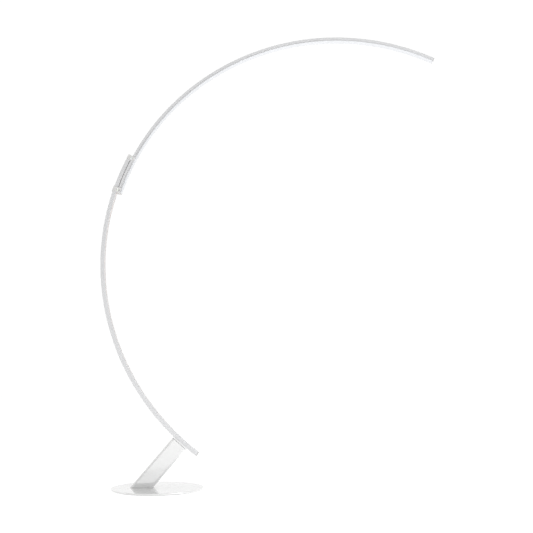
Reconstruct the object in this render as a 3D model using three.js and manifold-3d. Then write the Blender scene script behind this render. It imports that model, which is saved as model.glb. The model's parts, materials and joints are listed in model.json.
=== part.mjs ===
// Arc floor lamp, in millimetres, +Z up, seen from -Y.
// The origin is on the floor, in the middle of the round base. A slanted stem stands on the base and
// carries a bent lower profile. A bent upper profile, which holds the light, nests inside it and slides
// along it about the centre that both bends share.

import * as THREE from "three";
import * as BufferGeometryUtils from "three/addons/utils/BufferGeometryUtils.js";
import Module from "manifold-3d";

// ---- Driving sizes ----------------------------------------------------------------------------------

const SEAT_GAP = 0.3; // between two faces that are seated on each other
const BIG = 400; // longer than anything that a cutter has to clear

const BASE_DIAMETER = 360;
const BASE_THICKNESS = 6;
const BASE_EDGE = 1; // chamfer on the rim
const PAD_INSET = 5; // how far the pad stays inside the rim
const PAD_THICKNESS = 1;
const BASE_BOLT_FROM_SIDE = 13; // from the stem's outer sides
const BASE_BOLT_SPACING_Y = 18;
const BASE_BOLT_GRIP = 14; // thread in the foot block

const STEM_FOOT_X = -62; // where the stem's centre line meets the base
const STEM_LEAN = 40.7; // degrees from upright
const STEM_LENGTH = 220;
const STEM_WIDTH = 68;
const STEM_DEPTH = 40;
const STEM_WALL = 3;
const STEM_CORNER = 9;
const FOOT_BLOCK_HEIGHT = 52;
const TOP_BLOCK_HEIGHT = 34;
const STEM_SCREW_FROM_SIDE = 19;
const STEM_SCREW_FROM_EDGE = 12; // below the top of each block
const CORD_INLET_HEIGHT = 63;
const CORD_BORE = 6.6;

const SADDLE_FLOOR = 4.2;
const SADDLE_RIM = 2.5; // thickness of the low rim along each side of the profile
const SADDLE_RIM_HEIGHT = 2;
const SADDLE_INSET = 1; // from the stem's outer sides
const SADDLE_BOLT_LENGTH = 36;
const LEAD_BORE = 7;
const LEAD_DIAMETER = 4;
const LEAD_FROM_SIDE = 9; // between the stem's outer side and the lead, which passes beside the saddle bolts
const SADDLE_BOLT_FROM_LEAD = 10;
const DRIVER_DEPTH = 22;
const DRIVER_FROM_SIDE = 14;
const DRIVER_TAPE = 1.5;
const DRIVER_OVER_INLET = 15;
const DRIVER_HEADROOM = 22; // room for the lead to bend below the top block

const PROFILE_DEPTH = 24; // both profiles, front to back
const LOWER_RADIUS = 998; // to the outer face of the lower profile
const LOWER_HEIGHT = 16.4;
const LOWER_WALL = 2;
const LOWER_RAIL_WALL = 4.4; // the thicker wall that the contact rail lies in
const LOWER_TOP = 154; // degrees, counted from +X towards +Z about the shared centre
const LOWER_FOOT = 234.1;

const PROFILE_GAP = 2.6; // between the nested profiles
const UPPER_HEIGHT = 14;
const UPPER_WALL = 1.8;
const UPPER_FLOOR = 2;
const UPPER_TIP = 64;
const UPPER_TAIL = 164.1;
const DIFFUSER_HEIGHT = 3;
const DIFFUSER_SKIN = 2.7;
const DIFFUSER_LEG = 5.3;
const DIFFUSER_LEG_WALL = 1.5;

const CAP_THICKNESS = 2.4;
const SPIGOT_LENGTH = 12;
const SLIDE_PLAY = 0.4; // running clearance of the guide and the collar
const SLIDE_CHEEK = 2; // their side walls
const GUIDE_HEAD = 8;
const GUIDE_LENGTH = 20;
const COLLAR_LENGTH = 24;
const COLLAR_BRIDGE = 2.5;
const GLIDE_PLAY = 0.3;
const GUIDE_WINDOW_LENGTH = 9; // the side windows that the runners' ears fill
const COLLAR_WINDOW_FROM_START = 4;
const COLLAR_WINDOW_FROM_TAIL = 5;
const WINDOW_OVERLAP = 0.8; // how far a window is wider than the gap between the profiles, on each side
const EAR_SUNK = 0.2; // below the outer face of the side wall
const GROOVE_FROM_RIM = 2.6; // the upper profile's side grooves, from its open rim
const GROOVE_WIDTH = 2.2;
const GROOVE_DEPTH = 1;

const RAIL_WIDTH = 10;
const RAIL_THICKNESS = 1.6;
const RAIL_SUNK = 0.3; // below the inner face of the lower profile
const CONDUCTOR_WIDTH = 1.6;
const CONDUCTOR_THICKNESS = 0.6;
const CONDUCTOR_OFFSET = 2.5; // from the middle plane
const STRIP_WIDTH = 11;
const STRIP_THICKNESS = 1.5;

const ARC_STEP = 2; // degrees per facet of the bent pieces
const DISC_SIDES = 72;
const ROUND_SIDES = 12;

// ---- Sizes worked out from them ---------------------------------------------------------------------

const BASE_BOTTOM = PAD_THICKNESS + SEAT_GAP;
const BASE_TOP = BASE_BOTTOM + BASE_THICKNESS;
const LEAN = THREE.MathUtils.degToRad(STEM_LEAN);
const CENTRE_DISTANCE = STEM_LENGTH + SADDLE_FLOOR + 2 * SEAT_GAP + LOWER_RADIUS;
const CENTRE_X = STEM_FOOT_X + CENTRE_DISTANCE * Math.sin(LEAN);
const CENTRE_Z = BASE_TOP + CENTRE_DISTANCE * Math.cos(LEAN);
const STEM_ANGLE = 270 - STEM_LEAN;
const HALF = PROFILE_DEPTH / 2;
const SADDLE_LENGTH = STEM_WIDTH - 2 * SADDLE_INSET;
const LEAD_OFFSET = STEM_WIDTH / 2 - LEAD_FROM_SIDE;
const SADDLE_BOLT_OFFSET = LEAD_OFFSET - SADDLE_BOLT_FROM_LEAD;
const STEM_SCREW_OFFSET = STEM_WIDTH / 2 - STEM_SCREW_FROM_SIDE;
const BASE_BOLT_OFFSET = STEM_WIDTH / 2 - BASE_BOLT_FROM_SIDE;
const DRIVER_BOTTOM = CORD_INLET_HEIGHT + DRIVER_OVER_INLET;
const DRIVER_TOP = STEM_LENGTH - TOP_BLOCK_HEIGHT - DRIVER_HEADROOM;
const DRIVER_HEIGHT = DRIVER_TOP - DRIVER_BOTTOM;
const DRIVER_WIDTH = STEM_WIDTH - 2 * DRIVER_FROM_SIDE;
const DRIVER_BACK = STEM_DEPTH / 2 - STEM_WALL - DRIVER_TAPE - 2 * SEAT_GAP;
const DRIVER_MIDDLE = DRIVER_BACK - DRIVER_DEPTH / 2;

const LOWER_INNER = LOWER_RADIUS - LOWER_HEIGHT;
const LOWER_HOLLOW_OUT = LOWER_RADIUS - LOWER_WALL;
const LOWER_HOLLOW_IN = LOWER_INNER + LOWER_RAIL_WALL;
const LOWER_HOLLOW_HALF = HALF - LOWER_WALL;
const UPPER_RADIUS = LOWER_INNER - PROFILE_GAP;
const UPPER_RIM = UPPER_RADIUS - UPPER_HEIGHT;
const UPPER_FLOOR_IN = UPPER_RADIUS - UPPER_FLOOR;
const UPPER_HOLLOW_HALF = HALF - UPPER_WALL;
const DIFFUSER_FACE = UPPER_RIM - DIFFUSER_HEIGHT;
const GROOVE_IN = UPPER_RIM + GROOVE_FROM_RIM;
const GROOVE_OUT = GROOVE_IN + GROOVE_WIDTH;
const CHEEK_IN = HALF + SLIDE_PLAY; // inner face of the slide's side walls
const CHEEK_OUT = CHEEK_IN + SLIDE_CHEEK;
const SADDLE_SEAT = STEM_LENGTH + SEAT_GAP + SADDLE_FLOOR + SEAT_GAP; // where the lower profile rests

const degreesOf = (length, radius = LOWER_RADIUS) => THREE.MathUtils.radToDeg(length / radius);
const CAP_SPAN = degreesOf(CAP_THICKNESS);
const GAP_SPAN = degreesOf(SEAT_GAP);
const SPIGOT_SPAN = degreesOf(SPIGOT_LENGTH);
const GUIDE_HEAD_END = LOWER_TOP + degreesOf(GUIDE_HEAD);
const GUIDE_END = LOWER_TOP + degreesOf(GUIDE_LENGTH);
const COLLAR_START = UPPER_TAIL - degreesOf(COLLAR_LENGTH);
const COLLAR_MIDDLE = (COLLAR_START + UPPER_TAIL) / 2;
const COLLAR_WALL_START = UPPER_TAIL - CAP_SPAN;
const GUIDE_WINDOW_END = GUIDE_HEAD_END + degreesOf(GUIDE_WINDOW_LENGTH);
const COLLAR_WINDOW_START = COLLAR_START + degreesOf(COLLAR_WINDOW_FROM_START);
const COLLAR_WINDOW_END = UPPER_TAIL - degreesOf(COLLAR_WINDOW_FROM_TAIL);
const LOWER_START = GUIDE_HEAD_END + GAP_SPAN;
const LOWER_END = LOWER_FOOT - CAP_SPAN - GAP_SPAN;
const UPPER_START = UPPER_TIP + CAP_SPAN + GAP_SPAN;
const UPPER_END = COLLAR_WALL_START - GAP_SPAN;
const SADDLE_SPAN = degreesOf(SADDLE_LENGTH);
const TERMINAL_ANGLE = STEM_ANGLE - SADDLE_SPAN / 2 - 1.4;
const RAIL_END = TERMINAL_ANGLE - 0.3;

// ---- Materials --------------------------------------------------------------------------------------

const paint = (name, color, roughness, metalness) =>
  new THREE.MeshStandardMaterial({ name, color, roughness, metalness });

const lacquer = () => paint("white lacquer", 0xf1f1ee, 0.3, 0);
const blackPad = () => paint("black foam", 0x2a2a2a, 0.95, 0);
const steel = () => paint("zinc plated steel", 0xb9bcc0, 0.4, 1);
const castBlock = () => paint("bare aluminium", 0xc4c6c8, 0.5, 1);
const whitePlastic = () => paint("white plastic", 0xe9e8e4, 0.45, 0);
const nylon = () => paint("natural nylon", 0xfaf8f0, 0.5, 0);
const opal = () => paint("opal acrylic", 0xf4f8fc, 0.35, 0);
const copper = () => paint("copper", 0xc77f55, 0.35, 1);
const circuitBoard = () => paint("white circuit board", 0xf2f2ea, 0.6, 0);
const greyRubber = () => paint("grey rubber", 0x55565a, 0.8, 0);

// ---- Solids -----------------------------------------------------------------------------------------

const wasm = await Module();
wasm.setup();

/** A closed three.js geometry as a solid that can be joined and cut. */
function solidOf(geometry) {
  const bare = geometry.clone();
  bare.deleteAttribute("normal");
  bare.deleteAttribute("uv");
  const merged = BufferGeometryUtils.mergeVertices(bare, 1e-4);
  const corners = merged.index.array;
  const triangles = [];
  for (let k = 0; k < corners.length; k += 3) {
    const [a, b, c] = corners.slice(k, k + 3);
    if (a !== b && b !== c && c !== a) triangles.push(a, b, c); // a lathe's pole has empty triangles
  }
  const vertProperties = new Float32Array(merged.attributes.position.array);
  return new wasm.Manifold(new wasm.Mesh({ numProp: 3, vertProperties, triVerts: new Uint32Array(triangles) }));
}

/** A solid as a flat-shaded geometry. */
function geometryOf(solid) {
  const { vertProperties, triVerts, numProp } = solid.getMesh();
  const geometry = new THREE.BufferGeometry();
  geometry.setAttribute("position", new THREE.BufferAttribute(vertProperties, numProp));
  geometry.setIndex(new THREE.BufferAttribute(triVerts, 1));
  geometry.computeVertexNormals();
  return geometry;
}

/** The first geometry joined with the second list, with the third list cut away. */
function shaped(body, joined, cuts = []) {
  let solid = solidOf(body);
  for (const piece of joined) solid = solid.add(solidOf(piece));
  for (const cutter of cuts) solid = solid.subtract(solidOf(cutter));
  return geometryOf(solid);
}

/** Angles from start to end on the common facet grid, so that nested bends stay parallel. */
function gridAngles(start, end) {
  const angles = [start];
  for (let k = Math.floor(start / ARC_STEP) + 1; k * ARC_STEP < end - 1e-6; k += 1) {
    if (k * ARC_STEP > start + 1e-6) angles.push(k * ARC_STEP);
  }
  angles.push(end);
  return angles.map(THREE.MathUtils.degToRad);
}

/** A stretch of ring about the Y axis, between two radii, two angles and two places along Y. */
function ringStretch(inner, outer, start, end, front = -HALF, back = HALF) {
  const angles = gridAngles(start, end);
  const at = (radius) => (angle) => new THREE.Vector2(radius * Math.cos(angle), radius * Math.sin(angle));
  const outline = new THREE.Shape([...angles.map(at(outer)), ...angles.map(at(inner)).reverse()]);
  const geometry = new THREE.ExtrudeGeometry(outline, { depth: back - front, bevelEnabled: false });
  return geometry.rotateX(Math.PI / 2).translate(0, back, 0);
}

/** The same stretch on both sides of the middle plane. */
function ringPair(inner, outer, start, end, near, far) {
  return [ringStretch(inner, outer, start, end, near, far), ringStretch(inner, outer, start, end, -far, -near)];
}

/** A rectangle with round corners, centred on the origin. */
function roundedRectangle(width, depth, radius) {
  const x = width / 2 - radius;
  const y = depth / 2 - radius;
  const shape = new THREE.Shape();
  shape.absarc(x, y, radius, 0, Math.PI / 2);
  shape.absarc(-x, y, radius, Math.PI / 2, Math.PI);
  shape.absarc(-x, -y, radius, Math.PI, 1.5 * Math.PI);
  shape.absarc(x, -y, radius, 1.5 * Math.PI, 2 * Math.PI);
  return shape;
}

/** An upright prism of an outline, between two heights. */
function prism(outline, bottom, top) {
  const options = { depth: top - bottom, bevelEnabled: false, curveSegments: 2 };
  return new THREE.ExtrudeGeometry(outline, options).translate(0, 0, bottom);
}

/** A box given by its middle in X and Y, its bottom and its sizes. */
function block(x, y, bottom, width, depth, height) {
  return new THREE.BoxGeometry(width, depth, height).translate(x, y, bottom + height / 2);
}

/** An upright round bar from a height upwards. */
function roundBar(diameter, bottom, height, sides = ROUND_SIDES) {
  const bar = new THREE.CylinderGeometry(diameter / 2, diameter / 2, height, sides);
  return bar.rotateX(Math.PI / 2).translate(0, 0, bottom + height / 2);
}

/** A solid turned about the Z axis from [radius, height] points. */
function turned(points, sides = ROUND_SIDES) {
  const profile = points.map(([radius, height]) => new THREE.Vector2(radius, height));
  return new THREE.LatheGeometry(profile, sides).rotateX(Math.PI / 2);
}

/** A countersunk screw with its head's face at the origin, pointing along +Z, and its hexagon socket. */
function countersunkScrew(diameter, length) {
  const radius = diameter / 2;
  const head = diameter * 0.95;
  const cone = head - radius;
  const body = turned([[0, 0], [head, 0], [head, 0.3], [radius, 0.3 + cone], [radius, length], [0, length]]);
  return shaped(body, [], [roundBar(diameter * 0.75, -1, 1 + diameter * 0.4, 6)]);
}

/** What a countersunk screw needs cut out of the pieces it holds. */
function countersunkHole(diameter, length) {
  const radius = diameter / 2 + SEAT_GAP;
  const head = diameter * 0.95 + SEAT_GAP;
  const cone = head - radius;
  return turned([[0, -BIG / 8], [head, -BIG / 8], [head, 0.3], [radius, 0.3 + cone], [radius, length], [0, length]]);
}

/** A pan head screw, the head standing on the origin's plane and the shank pointing along +Z. */
function panScrew(diameter, length) {
  const radius = diameter / 2;
  const head = diameter * 0.85;
  const tall = diameter * 0.5;
  const body = turned([
    [0, -tall], [head * 0.7, -tall], [head, -tall * 0.5], [head, 0], [radius, 0], [radius, length], [0, length],
  ]);
  return shaped(body, [], [roundBar(diameter * 0.6, -tall - 1, 1 + tall * 0.6, 6)]);
}

// ---- Where things are placed ------------------------------------------------------------------------

/** Turns a piece that points along +Z so that it points along +Y or -Y. */
const alongY = (geometry, sign = 1) => geometry.rotateX((-sign * Math.PI) / 2);

/** Moves a piece that points along +Z to a radius and an angle of the bends, pointing inwards. */
function pointingIn(geometry, radius, angle, y = 0) {
  const turn = THREE.MathUtils.degToRad(-90 - angle);
  const around = THREE.MathUtils.degToRad(angle);
  return geometry.rotateY(turn).translate(radius * Math.cos(around), y, radius * Math.sin(around));
}

/** From the stem's own frame, which stands on the base, to the frame of the bends. */
const fromStemToBends = (geometry) => geometry.translate(0, 0, -CENTRE_DISTANCE).rotateY(LEAN);

/** From the upright frame of the base to the stem's own frame. */
const fromBaseToStem = (geometry) => geometry.translate(-STEM_FOOT_X, 0, -BASE_TOP).rotateY(-LEAN);

/** Everything below a height over the base, in the stem's own frame. */
const belowBaseTop = (height) => fromBaseToStem(block(0, 0, BASE_TOP + height - BIG, 2 * BIG, 2 * BIG, BIG));

/** The four places of the base bolts. They sit forward of the foot, under the leaning block. */
function baseBoltPlaces() {
  const middle = STEM_FOOT_X + Math.tan(LEAN) * (BASE_BOLT_GRIP / 2);
  const places = [];
  for (const x of [-BASE_BOLT_OFFSET, BASE_BOLT_OFFSET]) {
    for (const y of [-0.5, 0.5]) places.push([middle + x, y * BASE_BOLT_SPACING_Y]);
  }
  return places;
}

/** The heights along the stem, and sides, of its four screws. */
function stemScrewPlaces() {
  const heights = [FOOT_BLOCK_HEIGHT, STEM_LENGTH].map((top) => top - STEM_SCREW_FROM_EDGE);
  return heights.flatMap((height) => [-STEM_SCREW_OFFSET, STEM_SCREW_OFFSET].map((x) => [x, height]));
}

const stemScrewHole = ([x, height]) => {
  const bar = roundBar(5 + 2 * SEAT_GAP, 0, STEM_DEPTH / 2 + 10);
  return alongY(bar, -1).translate(x, STEM_DEPTH / 2 + 5, height);
};

/** Saddle bolts, in the stem's frame: their heads lie in the inner face of the lower profile. */
const SADDLE_BOLT_HEAD = SADDLE_SEAT + LOWER_HEIGHT - 0.6;
const saddleBoltPlaces = [-SADDLE_BOLT_OFFSET, SADDLE_BOLT_OFFSET];
const saddleBoltHole = (x) =>
  countersunkHole(5, SADDLE_BOLT_LENGTH + 2).rotateX(Math.PI).translate(x, 0, SADDLE_BOLT_HEAD);
const leadHole = () =>
  roundBar(LEAD_BORE, STEM_LENGTH - TOP_BLOCK_HEIGHT - 5, TOP_BLOCK_HEIGHT + 20).translate(-LEAD_OFFSET, 0, 0);

// ---- Base -------------------------------------------------------------------------------------------

function basePlate() {
  const radius = BASE_DIAMETER / 2;
  const disc = turned(
    [
      [0, BASE_BOTTOM],
      [radius - BASE_EDGE, BASE_BOTTOM],
      [radius, BASE_BOTTOM + BASE_EDGE],
      [radius, BASE_TOP - BASE_EDGE],
      [radius - BASE_EDGE, BASE_TOP],
      [0, BASE_TOP],
    ],
    DISC_SIDES,
  );
  const holes = baseBoltPlaces().map(([x, y]) =>
    countersunkHole(6, BASE_THICKNESS + 5).translate(x, y, BASE_BOTTOM + SEAT_GAP),
  );
  return shaped(disc, [], holes);
}

const basePad = () => roundBar(BASE_DIAMETER - 2 * PAD_INSET, 0, PAD_THICKNESS, DISC_SIDES);

const baseBolt = () => countersunkScrew(6, BASE_THICKNESS + BASE_BOLT_GRIP - SEAT_GAP);

// ---- Stem, in its own frame: +Z runs up the stem ----------------------------------------------------

function stemTube() {
  const outside = roundedRectangle(STEM_WIDTH, STEM_DEPTH, STEM_CORNER);
  const inside = roundedRectangle(STEM_WIDTH - 2 * STEM_WALL, STEM_DEPTH - 2 * STEM_WALL, STEM_CORNER - STEM_WALL);
  const inlet = alongY(roundBar(CORD_BORE + 4, 0, STEM_DEPTH / 2)).translate(0, STEM_DEPTH / 4, CORD_INLET_HEIGHT);
  return shaped(prism(outside, -STEM_WIDTH, STEM_LENGTH), [], [
    prism(inside, -STEM_WIDTH - 1, STEM_LENGTH + 1),
    belowBaseTop(SEAT_GAP),
    inlet,
    ...stemScrewPlaces().map(stemScrewHole),
  ]);
}

/** The outline of a block that fits inside the tube. */
function insideOutline() {
  const shrink = 2 * (STEM_WALL + SEAT_GAP);
  return roundedRectangle(STEM_WIDTH - shrink, STEM_DEPTH - shrink, STEM_CORNER - STEM_WALL - SEAT_GAP);
}

function footBlock() {
  const bolts = baseBoltPlaces().map(([x, y]) =>
    fromBaseToStem(roundBar(6 + 2 * SEAT_GAP, 0, BASE_TOP + BASE_BOLT_GRIP + 1).translate(x, y, 0)),
  );
  return shaped(prism(insideOutline(), -STEM_WIDTH, FOOT_BLOCK_HEIGHT), [], [
    belowBaseTop(SEAT_GAP),
    ...bolts,
    ...stemScrewPlaces().map(stemScrewHole),
  ]);
}

function topBlock() {
  return shaped(prism(insideOutline(), STEM_LENGTH - TOP_BLOCK_HEIGHT, STEM_LENGTH), [], [
    leadHole(),
    ...saddleBoltPlaces.map(saddleBoltHole),
    ...stemScrewPlaces().map(stemScrewHole),
  ]);
}

const stemScrew = ([x, height]) =>
  alongY(panScrew(5, STEM_WALL + 9), -1).translate(x, STEM_DEPTH / 2 + SEAT_GAP, height);

/** A snap-in bush in the back wall, with its bore along Y. */
function cordInlet() {
  const bore = CORD_BORE / 2;
  const neck = bore + 2 - SEAT_GAP;
  const flange = bore + 4;
  const wall = STEM_WALL + SEAT_GAP;
  const bush = turned([
    [bore, -wall - 1.5], [neck + 0.8, -wall - 1.5], [neck + 0.8, -wall], [neck, -wall], [neck, SEAT_GAP],
    [flange, SEAT_GAP], [flange, 1.6], [flange - 0.8, 2.4], [bore, 2.4], [bore, -wall - 1.5],
  ]);
  return alongY(bush).translate(0, STEM_DEPTH / 2, CORD_INLET_HEIGHT);
}

function driverBox() {
  const body = block(0, DRIVER_MIDDLE, DRIVER_BOTTOM + 4, DRIVER_WIDTH, DRIVER_DEPTH, DRIVER_HEIGHT - 8);
  const ends = block(0, DRIVER_MIDDLE, DRIVER_BOTTOM, DRIVER_WIDTH - 8, DRIVER_DEPTH - 6, DRIVER_HEIGHT);
  return shaped(body, [ends]);
}

const driverTape = () =>
  block(
    0, DRIVER_BACK + SEAT_GAP + DRIVER_TAPE / 2, DRIVER_BOTTOM + 8,
    DRIVER_WIDTH - 6, DRIVER_TAPE, DRIVER_HEIGHT - 16,
  );

/** The low voltage lead: up through the blocks and the saddle, then along the hollow profile. */
function lowVoltageLead() {
  const hollowMiddle = (LOWER_HOLLOW_IN + LOWER_HOLLOW_OUT) / 2;
  const alongHollow = (distance) => {
    const angle = 1.5 * Math.PI - distance / hollowMiddle;
    return new THREE.Vector3(hollowMiddle * Math.cos(angle), 0, CENTRE_DISTANCE + hollowMiddle * Math.sin(angle));
  };
  const crown = alongHollow(LEAD_OFFSET).z;
  const start = 6 - DRIVER_WIDTH / 2;
  const terminalReach = THREE.MathUtils.degToRad(STEM_ANGLE - TERMINAL_ANGLE - 0.75) * hollowMiddle;
  const route = new THREE.CatmullRomCurve3([
    new THREE.Vector3(start, DRIVER_MIDDLE, DRIVER_TOP + 2 * SEAT_GAP),
    new THREE.Vector3(start, DRIVER_MIDDLE, DRIVER_TOP + 4),
    new THREE.Vector3(-LEAD_OFFSET, 0, STEM_LENGTH - TOP_BLOCK_HEIGHT + 2),
    new THREE.Vector3(-LEAD_OFFSET, 0, STEM_LENGTH - 8),
    new THREE.Vector3(-LEAD_OFFSET, 0, crown - 7),
    new THREE.Vector3(-LEAD_OFFSET - 1.6, 0, crown - 2.2),
    alongHollow(LEAD_OFFSET + 6),
    alongHollow((LEAD_OFFSET + 6 + terminalReach) / 2),
    alongHollow(terminalReach),
  ]);
  const section = new THREE.Shape().absarc(0, 0, LEAD_DIAMETER / 2, 0, 2 * Math.PI);
  return new THREE.ExtrudeGeometry(section, { steps: 36, curveSegments: 4, extrudePath: route });
}

/** A shallow cradle for the lower profile, with a floor on the stem and a low rim on each side. */
function saddle() {
  const depth = PROFILE_DEPTH + 2 * (SEAT_GAP + SADDLE_RIM);
  const bottom = STEM_LENGTH + SEAT_GAP;
  const body = block(0, 0, bottom, SADDLE_LENGTH, depth, SADDLE_SEAT + SADDLE_RIM_HEIGHT - bottom);
  const room = HALF + SEAT_GAP;
  const cradle = ringStretch(LOWER_INNER - 20, LOWER_RADIUS + SEAT_GAP, 265, 275, -room, room);
  return shaped(body, [], [
    cradle.translate(0, 0, CENTRE_DISTANCE),
    leadHole(),
    ...saddleBoltPlaces.map(saddleBoltHole),
  ]);
}

const saddleBolt = (x) => countersunkScrew(5, SADDLE_BOLT_LENGTH).rotateX(Math.PI).translate(x, 0, SADDLE_BOLT_HEAD);

// ---- Lower profile and what is fixed to it, about the shared centre ---------------------------------

const GUIDE_SCREW_ANGLE = (GUIDE_HEAD_END + GUIDE_END) / 2;
const guideScrewPlaces = [-5, 5];
const guideScrewHole = (y) => pointingIn(countersunkHole(3, 9), LOWER_RADIUS - 0.2, GUIDE_SCREW_ANGLE, y);
const guideScrew = (y) => pointingIn(countersunkScrew(3, 8), LOWER_RADIUS - 0.2, GUIDE_SCREW_ANGLE, y);

function lowerProfile() {
  const body = ringStretch(LOWER_INNER, LOWER_RADIUS, LOWER_START, LOWER_END);
  const hollow = ringStretch(
    LOWER_HOLLOW_IN, LOWER_HOLLOW_OUT, LOWER_START - 1, LOWER_END + 1, -LOWER_HOLLOW_HALF, LOWER_HOLLOW_HALF,
  );
  const grooveHalf = RAIL_WIDTH / 2 + SEAT_GAP;
  const grooveFloor = LOWER_INNER + RAIL_SUNK + RAIL_THICKNESS + SEAT_GAP;
  const groove = ringStretch(
    LOWER_INNER - 5, grooveFloor, LOWER_START - 1, TERMINAL_ANGLE + 0.3, -grooveHalf, grooveHalf,
  );
  const slotHalf = RAIL_WIDTH / 2 - 1 + SEAT_GAP;
  const slot = ringStretch(
    LOWER_INNER - 5, LOWER_HOLLOW_IN + 1, TERMINAL_ANGLE - 0.27, TERMINAL_ANGLE + 0.27, -slotHalf, slotHalf,
  );
  return shaped(body, [], [
    hollow,
    groove,
    slot,
    fromStemToBends(roundBar(LEAD_BORE, STEM_LENGTH, SADDLE_FLOOR + LOWER_HEIGHT / 2).translate(-LEAD_OFFSET, 0, 0)),
    ...saddleBoltPlaces.map((x) => fromStemToBends(saddleBoltHole(x))),
    ...guideScrewPlaces.map(guideScrewHole),
  ]);
}

/** A solid block in the hollow profile that keeps the saddle bolts from crushing it. */
function profileInsert() {
  const half = LOWER_HOLLOW_HALF - SEAT_GAP;
  const reach = SADDLE_SPAN / 2;
  const body = ringStretch(
    LOWER_HOLLOW_IN + SEAT_GAP, LOWER_HOLLOW_OUT - SEAT_GAP, STEM_ANGLE - reach, STEM_ANGLE + reach, -half, half,
  );
  const leadSlot = ringStretch(
    LOWER_HOLLOW_IN - 5, LOWER_HOLLOW_OUT + 5, STEM_ANGLE - reach - 1,
    STEM_ANGLE - degreesOf(LEAD_OFFSET - LEAD_BORE / 2), -LEAD_BORE / 2, LEAD_BORE / 2,
  );
  const bolts = saddleBoltPlaces.map((x) => fromStemToBends(saddleBoltHole(x)));
  return shaped(body, [], [leadSlot, ...bolts]);
}

/** A plug that closes the foot end of the lower profile. */
function footCap() {
  const plate = ringStretch(LOWER_INNER, LOWER_RADIUS, LOWER_FOOT - CAP_SPAN, LOWER_FOOT);
  const half = LOWER_HOLLOW_HALF - SEAT_GAP;
  const spigot = ringStretch(
    LOWER_HOLLOW_IN + SEAT_GAP, LOWER_HOLLOW_OUT - SEAT_GAP, LOWER_FOOT - CAP_SPAN - SPIGOT_SPAN,
    LOWER_FOOT - CAP_SPAN + GAP_SPAN, -half, half,
  );
  return shaped(plate, [spigot]);
}

/** The end fitting of the lower profile. Its side walls hold the upper profile by two lips. */
function slideGuide() {
  const cheekEnd = UPPER_RIM + 1;
  const head = ringStretch(cheekEnd, LOWER_RADIUS, LOWER_TOP, GUIDE_HEAD_END, -CHEEK_OUT, CHEEK_OUT);
  const cheeks = ringPair(cheekEnd, LOWER_RADIUS, GUIDE_HEAD_END - GAP_SPAN, GUIDE_END, CHEEK_IN, CHEEK_OUT);
  const half = LOWER_HOLLOW_HALF - SEAT_GAP;
  const spigot = ringStretch(
    LOWER_HOLLOW_IN + SEAT_GAP, LOWER_HOLLOW_OUT - SEAT_GAP, GUIDE_HEAD_END - GAP_SPAN,
    GUIDE_END + degreesOf(4), -half, half,
  );
  const passage = ringStretch(cheekEnd - 5, LOWER_INNER, LOWER_TOP - 1, GUIDE_END + 1, -CHEEK_IN, CHEEK_IN);
  const windows = ringPair(
    UPPER_RADIUS - WINDOW_OVERLAP, LOWER_INNER + WINDOW_OVERLAP, GUIDE_HEAD_END, GUIDE_WINDOW_END,
    CHEEK_IN - 1, CHEEK_OUT + 1,
  );
  const lips = ringPair(
    GROOVE_IN + SLIDE_PLAY, GROOVE_OUT - SLIDE_PLAY, LOWER_TOP, GUIDE_END,
    HALF - GROOVE_DEPTH + SLIDE_PLAY, CHEEK_IN + 0.5,
  );
  const walls = shaped(head, [...cheeks, spigot], [passage, ...windows, ...guideScrewPlaces.map(guideScrewHole)]);
  return shaped(walls, lips);
}

/** The ears of a nylon runner. Each fills a window in a side wall, and a neck joins it to the runner. */
function glideEars(windowStart, windowEnd) {
  const start = windowStart + GAP_SPAN;
  const end = windowEnd - GAP_SPAN;
  const room = WINDOW_OVERLAP - SEAT_GAP;
  const face = CHEEK_OUT - EAR_SUNK;
  return [
    ...ringPair(UPPER_RADIUS + GLIDE_PLAY, LOWER_INNER - SEAT_GAP, start, end, HALF - 0.5, face - 0.5),
    ...ringPair(UPPER_RADIUS - room, LOWER_INNER + room, start, end, CHEEK_IN + SEAT_GAP, face),
  ];
}

/** A nylon runner between the nested profiles, held by its ears in the guide's windows. */
function guideGlide() {
  const bar = ringStretch(
    UPPER_RADIUS + GLIDE_PLAY, LOWER_INNER - SEAT_GAP, LOWER_TOP + degreesOf(1), GUIDE_END - degreesOf(1),
  );
  return shaped(bar, glideEars(GUIDE_HEAD_END, GUIDE_WINDOW_END));
}

/** The insulating carrier of the two conductors, in the groove of the lower profile. */
function contactRail() {
  const inner = LOWER_INNER + RAIL_SUNK;
  const half = RAIL_WIDTH / 2;
  const body = ringStretch(inner, inner + RAIL_THICKNESS, LOWER_START + GAP_SPAN, RAIL_END, -half, half);
  const side = CONDUCTOR_WIDTH / 2 + SEAT_GAP;
  const slots = ringPair(
    inner - 5, inner + CONDUCTOR_THICKNESS + 0.5, LOWER_START - 1, RAIL_END + 1,
    CONDUCTOR_OFFSET - side, CONDUCTOR_OFFSET + side,
  );
  return shaped(body, [], slots);
}

function railConductor(sign) {
  const inner = LOWER_INNER + RAIL_SUNK + 0.2;
  const middle = sign * CONDUCTOR_OFFSET;
  return ringStretch(
    inner, inner + CONDUCTOR_THICKNESS, LOWER_START + GAP_SPAN, RAIL_END,
    middle - CONDUCTOR_WIDTH / 2, middle + CONDUCTOR_WIDTH / 2,
  );
}

/** The block in the hollow that the lead ends in. Its neck passes the wall to the rail's end. */
function railTerminal() {
  const neckHalf = RAIL_WIDTH / 2 - 1;
  const neck = ringStretch(
    LOWER_INNER + RAIL_SUNK, LOWER_HOLLOW_IN + 1, TERMINAL_ANGLE - 0.25, TERMINAL_ANGLE + 0.25, -neckHalf, neckHalf,
  );
  const body = ringStretch(
    LOWER_HOLLOW_IN + SEAT_GAP, LOWER_HOLLOW_OUT - 2, TERMINAL_ANGLE - 0.7, TERMINAL_ANGLE + 0.7, -7, 7,
  );
  return shaped(body, [neck]);
}

// ---- Upper profile and what slides with it, about the shared centre ---------------------------------

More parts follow.
